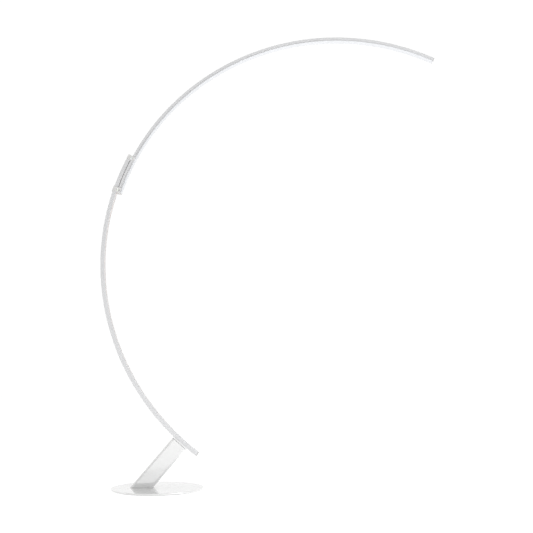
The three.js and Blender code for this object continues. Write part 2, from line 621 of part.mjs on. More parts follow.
const SHOE_HALF = 4.9;
const SHOE_START = COLLAR_MIDDLE - degreesOf(5);
const SHOE_END = COLLAR_MIDDLE + degreesOf(5);
const PEG_DIAMETER = 4;
const COLLAR_SCREW_RADIUS = UPPER_RADIUS - 6.4;

function upperProfile() {
  const body = ringStretch(UPPER_RIM, UPPER_RADIUS, UPPER_START, UPPER_END);
  const hollow = ringStretch(
    UPPER_RIM - 5, UPPER_FLOOR_IN, UPPER_START - 1, UPPER_END + 1, -UPPER_HOLLOW_HALF, UPPER_HOLLOW_HALF,
  );
  const grooves = ringPair(GROOVE_IN, GROOVE_OUT, UPPER_START - 1, UPPER_END + 1, HALF - GROOVE_DEPTH, HALF + 5);
  const pegHole = pointingIn(roundBar(PEG_DIAMETER + 2 * SEAT_GAP, -5, 12), UPPER_RADIUS, COLLAR_MIDDLE);
  return shaped(body, [], [hollow, ...grooves, pegHole, ...collarScrewSides.map(collarScrewHole)]);
}

const ledStrip = () =>
  ringStretch(
    UPPER_FLOOR_IN - SEAT_GAP - STRIP_THICKNESS, UPPER_FLOOR_IN - SEAT_GAP, UPPER_START + 0.2, UPPER_END - 0.2,
    -STRIP_WIDTH / 2, STRIP_WIDTH / 2,
  );

/** The light cover: a plate over the channel's rim, with two legs inside it. */
function diffuser() {
  const plate = ringStretch(DIFFUSER_FACE, DIFFUSER_FACE + DIFFUSER_SKIN, UPPER_START, UPPER_END);
  const outside = UPPER_HOLLOW_HALF - SEAT_GAP;
  const legs = ringPair(
    DIFFUSER_FACE + DIFFUSER_SKIN - 0.5, UPPER_RIM + DIFFUSER_LEG, UPPER_START, UPPER_END,
    outside - DIFFUSER_LEG_WALL, outside,
  );
  return shaped(plate, legs);
}

/** The band of the upper profile that a spigot may fill, between the light cover's legs and the strip. */
const SPIGOT_IN = UPPER_RIM + DIFFUSER_LEG + SEAT_GAP;
const SPIGOT_OUT = UPPER_FLOOR_IN - 2 * SEAT_GAP - STRIP_THICKNESS;
const SPIGOT_HALF = UPPER_HOLLOW_HALF - SEAT_GAP;

function tipCap() {
  const plate = ringStretch(DIFFUSER_FACE, UPPER_RADIUS, UPPER_TIP, UPPER_TIP + CAP_SPAN);
  const spigot = ringStretch(
    SPIGOT_IN, SPIGOT_OUT, UPPER_TIP + CAP_SPAN - GAP_SPAN, UPPER_TIP + CAP_SPAN + SPIGOT_SPAN,
    -SPIGOT_HALF, SPIGOT_HALF,
  );
  return shaped(plate, [spigot]);
}

const collarScrewSides = [-1, 1];
const atCollarScrew = (geometry) => {
  const angle = THREE.MathUtils.degToRad(COLLAR_MIDDLE);
  return geometry.translate(COLLAR_SCREW_RADIUS * Math.cos(angle), 0, COLLAR_SCREW_RADIUS * Math.sin(angle));
};
const collarScrewHole = (side) =>
  atCollarScrew(alongY(countersunkHole(2.5, 9), -side).translate(0, side * CHEEK_OUT, 0));
const collarScrew = (side) =>
  atCollarScrew(alongY(countersunkScrew(2.5, 8), -side).translate(0, side * CHEEK_OUT, 0));

const PAD_POCKET = 1.3;

/** The collar at the upper profile's tail. It closes the profile and slides around the lower one. */
function tailCollar() {
  const outside = LOWER_RADIUS + SLIDE_PLAY + COLLAR_BRIDGE;
  const body = ringStretch(UPPER_RIM + 1, outside, COLLAR_START, UPPER_TAIL, -CHEEK_OUT, CHEEK_OUT);
  const lowerPassage = ringStretch(
    LOWER_INNER - SLIDE_PLAY, LOWER_RADIUS + SLIDE_PLAY, COLLAR_START - 1, UPPER_TAIL + 1, -CHEEK_IN, CHEEK_IN,
  );
  const upperRoom = ringStretch(
    UPPER_RIM - 5, LOWER_INNER, COLLAR_START - 1, COLLAR_WALL_START, -HALF - SEAT_GAP, HALF + SEAT_GAP,
  );
  const glideRoom = ringStretch(
    UPPER_RADIUS + GLIDE_PLAY, LOWER_INNER, COLLAR_START - 1, UPPER_TAIL + 1, -CHEEK_IN, CHEEK_IN,
  );
  const windows = ringPair(
    UPPER_RADIUS - WINDOW_OVERLAP, LOWER_INNER + WINDOW_OVERLAP, COLLAR_WINDOW_START, COLLAR_WINDOW_END,
    HALF - 1, CHEEK_OUT + 1,
  );
  const pocket = ringStretch(
    LOWER_RADIUS, LOWER_RADIUS + SLIDE_PLAY + PAD_POCKET, COLLAR_MIDDLE - degreesOf(6), COLLAR_MIDDLE + degreesOf(6),
    -8, 8,
  );
  const shell = shaped(body, [], [lowerPassage, upperRoom, glideRoom, ...windows, pocket]);
  const lidEdge = ringStretch(DIFFUSER_FACE, UPPER_RIM + 2, COLLAR_WALL_START, UPPER_TAIL);
  const spigot = ringStretch(
    SPIGOT_IN, SPIGOT_OUT, COLLAR_START + degreesOf(2), COLLAR_WALL_START + GAP_SPAN, -SPIGOT_HALF, SPIGOT_HALF,
  );
  return shaped(shell, [lidEdge, spigot], collarScrewSides.map(collarScrewHole));
}

/** The nylon runner at the tail, with ears in the collar's windows and a passage for the contact shoe. */
function tailGlide() {
  const body = ringStretch(
    UPPER_RADIUS + GLIDE_PLAY, LOWER_INNER - SEAT_GAP, COLLAR_START + degreesOf(1), UPPER_TAIL - degreesOf(1),
  );
  const window = ringStretch(
    UPPER_RADIUS - 5, LOWER_INNER + 5, SHOE_START - GAP_SPAN, SHOE_END + GAP_SPAN,
    -SHOE_HALF - SEAT_GAP, SHOE_HALF + SEAT_GAP,
  );
  return shaped(body, glideEars(COLLAR_WINDOW_START, COLLAR_WINDOW_END), [window]);
}

/** The felt that gives the slide its friction. */
const brakePad = () =>
  ringStretch(
    LOWER_RADIUS + GLIDE_PLAY, LOWER_RADIUS + SLIDE_PLAY + PAD_POCKET - SEAT_GAP,
    COLLAR_MIDDLE - degreesOf(5.5), COLLAR_MIDDLE + degreesOf(5.5), -7.5, 7.5,
  );

/** The holder of the two brushes, on the outer face of the upper profile, with a peg to the strip. */
function contactShoe() {
  const inner = UPPER_RADIUS + SEAT_GAP;
  const body = ringStretch(inner, inner + 1.6, SHOE_START, SHOE_END, -SHOE_HALF, SHOE_HALF);
  const peg = pointingIn(
    roundBar(PEG_DIAMETER, -SEAT_GAP - 0.5, UPPER_FLOOR + SEAT_GAP + 0.5), UPPER_RADIUS, COLLAR_MIDDLE,
  );
  const side = CONDUCTOR_WIDTH / 2 + 0.1;
  const slots = ringPair(
    inner + 0.4, inner + 5, SHOE_START + degreesOf(1.5), SHOE_END - degreesOf(1.5),
    CONDUCTOR_OFFSET - side, CONDUCTOR_OFFSET + side,
  );
  return shaped(body, [peg], slots);
}

function contactBrush(sign) {
  const middle = sign * CONDUCTOR_OFFSET;
  const half = CONDUCTOR_WIDTH / 2 - 0.15;
  return ringStretch(
    UPPER_RADIUS + SEAT_GAP + 0.6, LOWER_INNER + 0.2, SHOE_START + degreesOf(2), SHOE_END - degreesOf(2),
    middle - half, middle + half,
  );
}

// ---- The lamp ---------------------------------------------------------------------------------------

const lamp = new THREE.Group();
const stem = new THREE.Group();
const bends = new THREE.Group();
const slidingArc = new THREE.Group();

stem.position.set(STEM_FOOT_X, 0, BASE_TOP);
stem.rotation.y = LEAN;
bends.position.set(CENTRE_X, 0, CENTRE_Z);
slidingArc.position.copy(bends.position);
lamp.add(stem, bends, slidingArc);

/** Adds one named piece to a group. */
function add(group, name, geometry, material) {
  const mesh = new THREE.Mesh(geometry, material);
  mesh.name = name;
  group.add(mesh);
  return mesh;
}

add(lamp, "base_pad", basePad(), blackPad());
add(lamp, "base_plate", basePlate(), lacquer());
baseBoltPlaces().forEach(([x, y], index) => {
  const bolt = add(lamp, `base_bolt_${index + 1}`, baseBolt(), steel());
  bolt.position.set(x, y, BASE_BOTTOM + SEAT_GAP);
});

add(stem, "stem_foot_block", footBlock(), castBlock());
add(stem, "stem_tube", stemTube(), lacquer());
add(stem, "stem_top_block", topBlock(), castBlock());
stemScrewPlaces().forEach((place, index) => add(stem, `stem_screw_${index + 1}`, stemScrew(place), steel()));
add(stem, "cord_inlet", cordInlet(), whitePlastic());
add(stem, "led_driver", driverBox(), whitePlastic());
add(stem, "driver_tape", driverTape(), blackPad());
add(stem, "low_voltage_lead", lowVoltageLead(), greyRubber());
add(stem, "saddle", saddle(), lacquer());
saddleBoltPlaces.forEach((x, index) => add(stem, `saddle_bolt_${index + 1}`, saddleBolt(x), steel()));

add(bends, "lower_arc", lowerProfile(), lacquer());
add(bends, "lower_arc_insert", profileInsert(), castBlock());
add(bends, "foot_cap", footCap(), whitePlastic());
add(bends, "slide_guide", slideGuide(), whitePlastic());
guideScrewPlaces.forEach((y, index) => add(bends, `guide_screw_${index + 1}`, guideScrew(y), steel()));
add(bends, "guide_glide", guideGlide(), nylon());
add(bends, "contact_rail", contactRail(), whitePlastic());
add(bends, "rail_conductor_front", railConductor(-1), copper());
add(bends, "rail_conductor_rear", railConductor(1), copper());
add(bends, "rail_terminal", railTerminal(), whitePlastic());

add(slidingArc, "upper_arc", upperProfile(), lacquer());
add(slidingArc, "led_strip", ledStrip(), circuitBoard());
add(slidingArc, "diffuser", diffuser(), opal());
add(slidingArc, "tip_cap", tipCap(), whitePlastic());
add(slidingArc, "tail_collar", tailCollar(), whitePlastic());
collarScrewSides.forEach((side) =>
  add(slidingArc, side < 0 ? "collar_screw_front" : "collar_screw_rear", collarScrew(side), steel()),
);
add(slidingArc, "tail_glide", tailGlide(), nylon());
add(slidingArc, "brake_pad", brakePad(), blackPad());
add(slidingArc, "contact_shoe", contactShoe(), whitePlastic());
add(slidingArc, "contact_brush_front", contactBrush(-1), copper());
add(slidingArc, "contact_brush_rear", contactBrush(1), copper());

export default lamp;
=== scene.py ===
"""The looks of an arc floor lamp, modelled around the fixed frame of its CAD parts.

Everything is in metres, +Z up, seen from -Y. The two bends share one centre, so most pieces begin as
a flat sheet beside that centre, which is scored, cut to the profile's section and spun about it. The
pieces of the stem are made upright below the same centre and then leaned over with the stem.
"""

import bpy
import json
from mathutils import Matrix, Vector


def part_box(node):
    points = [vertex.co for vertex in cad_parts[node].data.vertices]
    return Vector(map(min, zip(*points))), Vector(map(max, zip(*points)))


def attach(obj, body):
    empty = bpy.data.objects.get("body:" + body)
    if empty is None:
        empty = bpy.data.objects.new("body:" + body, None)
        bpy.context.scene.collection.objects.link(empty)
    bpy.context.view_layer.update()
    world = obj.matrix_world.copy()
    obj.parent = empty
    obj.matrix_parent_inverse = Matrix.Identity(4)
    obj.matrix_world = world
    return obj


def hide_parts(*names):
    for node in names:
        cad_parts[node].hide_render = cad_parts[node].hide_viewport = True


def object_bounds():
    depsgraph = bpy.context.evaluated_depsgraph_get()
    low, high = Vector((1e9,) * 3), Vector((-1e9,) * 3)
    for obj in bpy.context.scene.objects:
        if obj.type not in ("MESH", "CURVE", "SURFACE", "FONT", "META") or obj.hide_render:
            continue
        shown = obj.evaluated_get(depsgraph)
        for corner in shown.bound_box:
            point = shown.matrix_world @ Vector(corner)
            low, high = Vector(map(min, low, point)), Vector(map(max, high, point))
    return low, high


bl_info = {
    "name": "Arc Floor Lamp",
    "version": (1, 0, 0),
    "blender": (4, 5, 0),
    "location": "View3D > Sidebar > Lamp",
    "description": "Models a white arc floor lamp whose upper arc slides along its lower arc",
    "category": "Add Mesh",
}

import itertools
import json
import math

import bmesh
import bpy
from mathutils import Matrix, Vector

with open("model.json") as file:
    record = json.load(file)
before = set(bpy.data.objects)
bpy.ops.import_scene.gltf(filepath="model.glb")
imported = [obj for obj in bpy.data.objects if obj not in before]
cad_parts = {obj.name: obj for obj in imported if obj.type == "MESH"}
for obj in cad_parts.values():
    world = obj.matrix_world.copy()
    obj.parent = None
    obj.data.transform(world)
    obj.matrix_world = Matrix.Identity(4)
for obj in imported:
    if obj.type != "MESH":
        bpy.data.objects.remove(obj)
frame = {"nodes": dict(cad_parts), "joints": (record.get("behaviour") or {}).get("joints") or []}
CAD_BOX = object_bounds()

MM = 0.001
FACET = 0.5  # degrees between two stops of every spin, so that nested bends stay parallel
SHORTEST = 0.08  # degrees; a spin's ends take no stop that is nearer than this
SEAT_GAP = 0.3 * MM
TOUCH = 1e-6  # metres; points nearer than this are one, or lie in one plane
X_AXIS, Y_AXIS, Z_AXIS = Vector((1, 0, 0)), Vector((0, 1, 0)), Vector((0, 0, 1))

CENTRE = Vector(frame["joints"][0]["pos_m"])
STAND, ARC = "stand", "sliding_arc"


# ---- Measuring the frame ----------------------------------------------------------------------------


def angle_of(point):
    """Degrees about the bends' centre, from +X towards +Z."""
    return math.degrees(math.atan2(point.z - CENTRE.z, point.x - CENTRE.x)) % 360


def radius_of(point):
    """Distance from the axis that the bends share."""
    return math.hypot(point.x - CENTRE.x, point.z - CENTRE.z)


def span_of(length, radius=1.0):
    """The degrees that a length takes up at a radius."""
    return math.degrees(length / radius)


class Bend:
    """Where a CAD part lies about the bends' centre: its radii, its angles, and half its depth."""

    def __init__(self, node):
        points = [v.co for v in frame["nodes"][node].data.vertices]
        self.start = min(angle_of(p) for p in points)
        self.end = max(angle_of(p) for p in points)
        # Only the ends are measured, because elsewhere a cut can lie in the middle of a flat facet
        at_ends = [p for p in points if min(angle_of(p) - self.start, self.end - angle_of(p)) < 0.01]
        self.inner = min(radius_of(p) for p in at_ends)
        self.outer = max(radius_of(p) for p in points)
        self.half = max(abs(p.y) for p in points)
        self.middle = (self.start + self.end) / 2
        self.middle_radius = (self.inner + self.outer) / 2


def middle_of(node):
    """The middle of a CAD part's box."""
    low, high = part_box(node)
    return (low + high) / 2


def stem_placing():
    """From the stem's own frame, with its origin in the bends' centre and +Z up the stem, to the lamp's."""
    down = (middle_of("saddle_bolt_1") + middle_of("saddle_bolt_2")) / 2 - CENTRE
    lean = math.atan2(-down.x, -down.z)
    return Matrix.Translation(CENTRE) @ Matrix.Rotation(lean, 4, "Y")


STEM = stem_placing()


class Upright:
    """The box of a CAD part in the stem's own frame."""

    def __init__(self, node):
        back = STEM.inverted()
        points = [back @ v.co for v in frame["nodes"][node].data.vertices]
        self.low = Vector([min(p[k] for p in points) for k in range(3)])
        self.high = Vector([max(p[k] for p in points) for k in range(3)])
        self.middle = (self.low + self.high) / 2
        self.size = self.high - self.low


LOWER = Bend("lower_arc")
UPPER = Bend("upper_arc")
COVER = Bend("diffuser")
GUIDE = Bend("slide_guide")
COLLAR = Bend("tail_collar")
RAIL = Bend("contact_rail")
BASE_LOW, BASE_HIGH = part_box("base_plate")
TUBE = Upright("stem_tube")

# Wall thicknesses and inner sizes of the profiles, which the section sheets are cut to
LOWER_WALL = 2 * MM
LOWER_RAIL_WALL = 4.4 * MM
UPPER_WALL = 1.8 * MM
UPPER_FLOOR = 2 * MM
GROOVE_FROM_RIM = 2.6 * MM
GROOVE_WIDTH = 2.2 * MM
GROOVE_DEPTH = 1 * MM
COVER_SKIN = 2.7 * MM
COVER_LEG = 1.5 * MM
CAP = 2.4 * MM
PLAY = 0.4 * MM
HOLLOW_IN = LOWER.inner + LOWER_RAIL_WALL
HOLLOW_OUT = LOWER.outer - LOWER_WALL
HOLLOW_HALF = LOWER.half - LOWER_WALL
GROOVE_IN = UPPER.inner + GROOVE_FROM_RIM
GROOVE_OUT = GROOVE_IN + GROOVE_WIDTH
CHANNEL_HALF = UPPER.half - UPPER_WALL
CHEEK_IN = LOWER.half + PLAY
LEAD_BORE = 7 * MM
LEAD_FROM_SIDE = 9 * MM
BOLT_BORE = 5.6 * MM
STRIP_ROOM = 2.1 * MM
CAP_ROUND = 0.6 * MM

# The plugs that fill the ends of the two profiles: inner radius, outer radius and half their depth
LOWER_PLUG = (HOLLOW_IN + SEAT_GAP, HOLLOW_OUT - SEAT_GAP, HOLLOW_HALF - SEAT_GAP)
UPPER_PLUG = (COVER.outer + SEAT_GAP, UPPER.outer - UPPER_FLOOR - STRIP_ROOM, CHANNEL_HALF - SEAT_GAP)

# The guide's head and cheeks, and the windows in its sides and the collar's, which the runners' ears fill
GUIDE_HEAD = 8 * MM
GUIDE_CHEEKS = 20 * MM
WINDOW_OVERLAP = 0.8 * MM
WINDOW_IN = UPPER.outer - WINDOW_OVERLAP
WINDOW_OUT = LOWER.inner + WINDOW_OVERLAP
GUIDE_HEAD_END = GUIDE.start + span_of(GUIDE_HEAD, LOWER.outer)
GUIDE_WINDOW = (GUIDE_HEAD_END, GUIDE_HEAD_END + span_of(9 * MM, LOWER.outer))
COLLAR_WINDOW = (
    COLLAR.start + span_of(4 * MM, LOWER.outer),
    COLLAR.end - span_of(5 * MM, LOWER.outer),
)


# ---- What a user may change -------------------------------------------------------------------------


def length(name, description, default):
    """A length that a user may change."""
    return bpy.props.FloatProperty(
        name=name,
        description=description,
        default=default,
        min=0,
        precision=5,
        unit="LENGTH",
        subtype="DISTANCE",
    )


def colour(name, description, default):
    """A colour that a user may change."""
    return bpy.props.FloatVectorProperty(
        name=name, description=description, default=default, min=0, max=1, size=3, subtype="COLOR"
    )


class LampSizes(bpy.types.PropertyGroup):
    """Sizes of the finish work that the CAD parts leave open."""

    rim_round: length("Base Rim Rounding", "Radius of the base plate's upper rim", 1.8 * MM)
    stem_corner: length("Stem Corner", "Outer radius of the stem tube's corners", 9 * MM)
    stem_wall: length("Stem Wall", "Thickness of the stem tube", 3 * MM)
    profile_round: length("Profile Corner", "Outer radius along both bent profiles", 1.1 * MM)
    seam_round: length("Seam Corner", "Radius of the two profiles' corners that face each other", 0.35 * MM)
    cover_round: length("Cover Corner", "Radius along the light cover's visible edges", 1.3 * MM)
    edge_round: length("Edge Rounding", "Radius of all other visible edges", 0.35 * MM)
    chip_spacing: length("LED Spacing", "Distance between two light chips on the strip", 12 * MM)


class LampColours(bpy.types.PropertyGroup):
    """Colours of the lamp's finishes."""

    lacquer: colour("Lacquer", "Gloss lacquer of the base, the stem and the saddle", (0.64, 0.64, 0.635))
    profile: colour("Profile", "Satin lacquer of the two bent profiles", (0.6, 0.6, 0.605))
    plastic: colour("Plastic", "Moulded caps, guide and collar", (0.6, 0.595, 0.585))
    nylon: colour("Nylon", "Runners between the two profiles", (0.93, 0.92, 0.89))
    cover: colour("Cover", "Opal light cover", (0.55, 0.555, 0.57))
    glow: bpy.props.FloatProperty(
        name="Glow", description="Brightness of the light cover", default=0.04, min=0, max=10
    )


def sizes():
    """The scene's lamp sizes."""
    return bpy.context.scene.lamp_sizes


def colours():
    """The scene's lamp colours."""
    return bpy.context.scene.lamp_colours


# ---- Working on one piece ---------------------------------------------------------------------------


def take(piece):
    """Makes a piece the only selected one, and the active one."""
    bpy.ops.object.select_all(action="DESELECT")
    piece.select_set(True)
    bpy.context.view_layer.objects.active = piece


class editing:
    """Work on one piece in edit mode."""

    def __init__(self, piece):
        self.piece = piece

    def __enter__(self):
        take(self.piece)
        bpy.ops.object.mode_set(mode="EDIT")

    def __exit__(self, *error):
        bpy.ops.object.mode_set(mode="OBJECT")


def choose(kind, test):
    """In edit mode, selects just the points, edges or faces that pass the test, and returns how many do."""
    mesh = bpy.context.object.data
    bpy.ops.mesh.select_mode(type=kind)
    bpy.ops.mesh.select_all(action="DESELECT")
    shape = bmesh.from_edit_mesh(mesh)
    elements = {"VERT": shape.verts, "EDGE": shape.edges, "FACE": shape.faces}[kind]
    chosen = [element for element in elements if test(element)]
    for element in chosen:
        element.select_set(True)
    shape.select_flush_mode()
    bmesh.update_edit_mesh(mesh)
    return len(chosen)


def close_up():
    """In edit mode, merges doubled points and turns all faces outwards."""
    bpy.ops.mesh.select_mode(type="VERT")
    bpy.ops.mesh.select_all(action="SELECT")
    bpy.ops.mesh.remove_doubles(threshold=TOUCH)
    bpy.ops.mesh.normals_make_consistent(inside=False)


def fix_in_place(piece, placing=None):
    """Puts a piece's place, turn and size into its mesh, after moving it where it belongs."""
    take(piece)
    if placing:
        piece.matrix_world = placing @ piece.matrix_world
    bpy.ops.object.transform_apply(location=True, rotation=True, scale=True)
    return piece


def apply_last(piece):
    """Applies the modifier that a piece was given last."""
    take(piece)
    bpy.ops.object.modifier_apply(modifier=piece.modifiers[-1].name)


def join(pieces):
    """Makes several objects one."""
    take(pieces[0])
    for piece in pieces:
        piece.select_set(True)
    if len(pieces) > 1:
        bpy.ops.object.join()
    return pieces[0]


def cut_out(piece, *cutters):
    """Cuts the other solids out of a piece in one go, and throws them away."""
    cutter = join(cutters)
    cut = piece.modifiers.new("Cut", "BOOLEAN")
    cut.operation = "DIFFERENCE"
    cut.solver = "EXACT"
    cut.object = cutter
    apply_last(piece)
    bpy.data.objects.remove(cutter)
    return piece


def soften(piece, width, segments=2, sharper_than=50):
    """Rounds the edges that are sharper than so many degrees."""
    bevel = piece.modifiers.new("Soft edges", "BEVEL")
    bevel.width = width
    bevel.segments = segments
    bevel.limit_method = "ANGLE"
    bevel.angle_limit = math.radians(sharper_than)
    apply_last(piece)
    return piece


def block(low, high):
    """A box between two corners."""
    bpy.ops.object.select_all(action="DESELECT")
    bpy.ops.mesh.primitive_cube_add(size=1, location=(Vector(low) + Vector(high)) / 2)
    piece = bpy.context.object
    piece.scale = Vector(high) - Vector(low)
    return fix_in_place(piece)


def rod(start, end, radius, sides=32):
    """A round bar from one point to another."""
    start, end = Vector(start), Vector(end)
    along = end - start
    bpy.ops.object.select_all(action="DESELECT")
    bpy.ops.mesh.primitive_cylinder_add(
        vertices=sides,
        radius=radius,
        depth=along.length,
        location=(start + end) / 2,
        rotation=along.to_track_quat("Z", "Y").to_euler(),
    )
    return fix_in_place(bpy.context.object)


def facing(direction):
    """A test for faces that look in a direction."""
    return lambda face: face.normal.dot(direction) > 0.99


def rise(edge):
    """How much higher one end of an edge lies than the other."""
    return abs(edge.verts[0].co.z - edge.verts[1].co.z)


def hand_over(piece, name, body, slot, finish, *nodes):
    """Names a finished piece, gives it its finish, and lets it ride in the place of its CAD parts."""
    piece.name = name
    piece.data.name = name
    piece.data.materials.clear()
    piece.data.materials.append(finish)
    take(piece)
    bpy.ops.object.shade_smooth_by_angle(angle=math.radians(32))
    piece.modifiers.new("Flat faces stay flat", "WEIGHTED_NORMAL").keep_sharp = True
    apply_last(piece)
    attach(piece, body)
    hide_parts(*nodes)
    return piece


# ---- Sheets and spins for the bent pieces -----------------------------------------------------------


def sheet(inner, outer, half, radii=(), sides=()):
    """A section's blank, scored at some radii and at some distances on both sides of the middle plane."""
    bpy.ops.object.select_all(action="DESELECT")
    bpy.ops.mesh.primitive_plane_add(size=1, location=CENTRE + X_AXIS * (inner + outer) / 2)
    piece = bpy.context.object
    piece.scale = (outer - inner, 2 * half, 1)
    fix_in_place(piece)
    scores = [(CENTRE + X_AXIS * radius, X_AXIS) for radius in radii]
    scores += [(Y_AXIS * side, Y_AXIS) for distance in sides for side in (-distance, distance)]
    with editing(piece):
        for place, direction in scores:
            bpy.ops.mesh.select_all(action="SELECT")
            bpy.ops.mesh.bisect(plane_co=place, plane_no=direction)
    return piece


def place_of(element):
    """The radius and the distance from the middle plane of a point or of a face's middle."""
    point = element.co if hasattr(element, "co") else element.calc_center_median()
    return radius_of(point), abs(point.y)


def within(inner, outer, half):
    """A test for what lies between two radii and no further from the middle plane than so much."""
    return lambda radius, side: inner < radius < outer and side < half


def drop(piece, test):
    """Takes the cells of a sheet away whose radius and side pass the test."""
    with editing(piece):
        choose("FACE", lambda cell: test(*place_of(cell)))
        bpy.ops.mesh.delete(type="FACE")
    return piece


def is_corner(point):
    """True for an outward right angle in a sheet's outline."""
    if len(point.link_edges) != 2:
        return False
    first, second = [edge.other_vert(point).co - point.co for edge in point.link_edges]
    return abs(math.degrees(first.angle(second)) - 90) < 20


def ease(piece, radius, test=lambda radius, side: True, segments=4):
    """Rounds the outward corners of a sheet that pass the test."""
    with editing(piece):
        if choose("VERT", lambda point: is_corner(point) and test(*place_of(point))):
            bpy.ops.mesh.bevel(offset=radius, segments=segments, affect="VERTICES")
    return piece


def stops_between(start, end):
    """Where a spin stops: at its own two ends and on the grid of facets that all bends share."""
    low, high = sorted((start, end))
    first, last = math.floor(low / FACET) + 1, math.ceil(high / FACET)
    grid = [k * FACET for k in range(first, last) if low + SHORTEST < k * FACET < high - SHORTEST]
    stops = [low, *grid, high]
    return stops if end > start else stops[::-1]


def spin_on(start, end):
    """In edit mode, spins what is selected from one angle to another."""
    stops = stops_between(start, end)
    turns = [round(after - before, 7) for before, after in zip(stops, stops[1:])]
    for turn, run in itertools.groupby(turns):
        steps = len(list(run))
        bpy.ops.mesh.spin(
            steps=steps, dupli=False, angle=math.radians(turn * steps), center=CENTRE, axis=Y_AXIS
        )


def lengthen(piece, reached, further, test):
    """Spins one end of a bent piece on, with just the cells that pass a test."""
    at_end = lambda face: all(abs(angle_of(v.co) - reached) < 1e-3 for v in face.verts)
    with editing(piece):
        choose("FACE", lambda face: at_end(face) and test(*place_of(face)))
        spin_on(reached, further)
        close_up()
    return piece


def bend(piece, start, end, *stages):
    """Spins a sheet into a solid. Each stage goes on from its end, with just the cells that pass a test."""
    around = Matrix.Translation(CENTRE) @ Matrix.Rotation(math.radians(-start), 4, "Y")
    fix_in_place(piece, around @ Matrix.Translation(-CENTRE))
    with editing(piece):
        choose("FACE", lambda face: True)
        spin_on(start, end)
        close_up()
    for further, test in stages:
        lengthen(piece, end, further, test)
        end = further
    return piece


def bent_bar(inner, outer, half, start, end):
    """A plain bent bar, for cutting."""
    return bend(sheet(inner, outer, half), start, end)


def two_sided(inner, outer, near, far, start, end):
    """Two plain bent bars, one on each side of the middle plane, for cutting."""
    blank = sheet(inner, outer, far, sides=[near])
    return bend(drop(blank, lambda radius, side: side < near), start, end)


def pointing_in(radius, angle, side=0):
    """Placing, at a radius and an angle, that turns what was made along +Z towards the bends' centre."""
    around = Matrix.Rotation(math.radians(-90 - angle), 4, "Y")
    turn = math.radians(angle)
    place = CENTRE + Vector((radius * math.cos(turn), side, radius * math.sin(turn)))
    return Matrix.Translation(place) @ around


# ---- Screws -----------------------------------------------------------------------------------------


def hexagon(width, depth, top):
    """A cutter for a screw's hexagon socket, which opens towards -Z at a height."""
    return rod((0, 0, top - MM), (0, 0, top + depth), width / 2, sides=6)


def countersunk(diameter, reach, gap=0.0):
    """A countersunk screw along +Z, its head's face on the origin. A gap makes a cutter for its hole."""
    radius = diameter / 2 + gap
    head = diameter * 0.95 + gap
    rim = 0.3 * MM
    piece = rod((0, 0, rim + head - radius), (0, 0, reach), radius)
    with editing(piece):
        choose("FACE", facing(-Z_AXIS))
        bpy.ops.mesh.extrude_region_move(TRANSFORM_OT_translate={"value": (0, 0, radius - head)})
        bpy.ops.transform.resize(value=(head / radius, head / radius, 1), center_override=(0, 0, rim))
        lift = (0, 0, -rim - (3 * MM if gap else 0))
        bpy.ops.mesh.extrude_region_move(TRANSFORM_OT_translate={"value": lift})
    if gap:
        return piece
    cut_out(piece, hexagon(diameter * 0.75, diameter * 0.4, 0))
    return soften(piece, 0.12 * MM, sharper_than=40)


def pan_head(diameter, reach):
    """A pan head screw along +Z, with its head standing on the origin's plane."""
    head = diameter * 0.85
    tall = diameter / 2
    piece = rod((0, 0, -tall), (0, 0, 0), head, sides=48)
    with editing(piece):
        choose("EDGE", lambda edge: all(v.co.z < -tall + TOUCH for v in edge.verts))
        bpy.ops.mesh.bevel(offset=tall * 0.6, segments=5, affect="EDGES")
        choose("FACE", facing(Z_AXIS))
        bpy.ops.mesh.inset(thickness=head - diameter / 2)
        bpy.ops.mesh.extrude_region_move(TRANSFORM_OT_translate={"value": (0, 0, reach)})
    cut_out(piece, hexagon(diameter * 0.6, tall * 0.6, -tall))
    return soften(piece, 0.12 * MM, sharper_than=40)


def copy_to(piece, placing):
    """A copy of a piece, with a mesh of its own, put in its place."""
    copy = bpy.data.objects.new(piece.name, piece.data.copy())
    bpy.context.scene.collection.objects.link(copy)
    return fix_in_place(copy, placing)


class Screws:
    """A set of like screws: their shape, where each one goes, and the depth of their countersunk holes."""

    def __init__(self, shape, placing_of, body, nodes, thread, length, hole=None):
        self.shape = shape
        self.placing_of = placing_of
        self.body = body
        self.nodes = nodes
        self.thread = thread
        self.length = length
        self.hole = hole

    def holes(self):
        """A cutter for each hole, put in its place."""
        return [
            fix_in_place(countersunk(self.thread, self.hole, SEAT_GAP), self.placing_of(node))
            for node in self.nodes
        ]

    def fit(self):
        """Models one screw and copies it to all its places."""
        screw = self.shape(self.thread, self.length)
        for node in self.nodes:
            name = node.replace("bolt", "bolt_head").replace("screw", "screw_head")
            piece = copy_to(screw, self.placing_of(node))
            hand_over(piece, name, self.body, "zinc_steel", zinc(), node)
        bpy.data.objects.remove(screw)


def base_bolt_placing(node):
    """Upright, from the base plate's underside."""
    middle, low = middle_of(node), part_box(node)[0]
    return Matrix.Translation((middle.x, middle.y, low.z))


def stem_screw_placing(node):
    """From the back of the stem forwards."""
    place = Upright(node).middle
    place.y = TUBE.high.y + SEAT_GAP
    return STEM @ Matrix.Translation(place) @ Matrix.Rotation(math.radians(90), 4, "X")


def saddle_bolt_placing(node):
    """Along the stem, from the inner face of the lower profile down."""
    part = Upright(node)
    return STEM @ Matrix.Translation((part.middle.x, 0, part.high.z)) @ Matrix.Rotation(math.pi, 4, "X")


def guide_screw_placing(node):
    """Towards the bends' centre, from the outer face of the lower profile into the guide's plug."""
    plug_start, plug_end = GUIDE.start + span_of(GUIDE_HEAD), GUIDE.end - span_of(4 * MM)
    return pointing_in(Bend(node).outer, (plug_start + plug_end) / 2, middle_of(node).y)


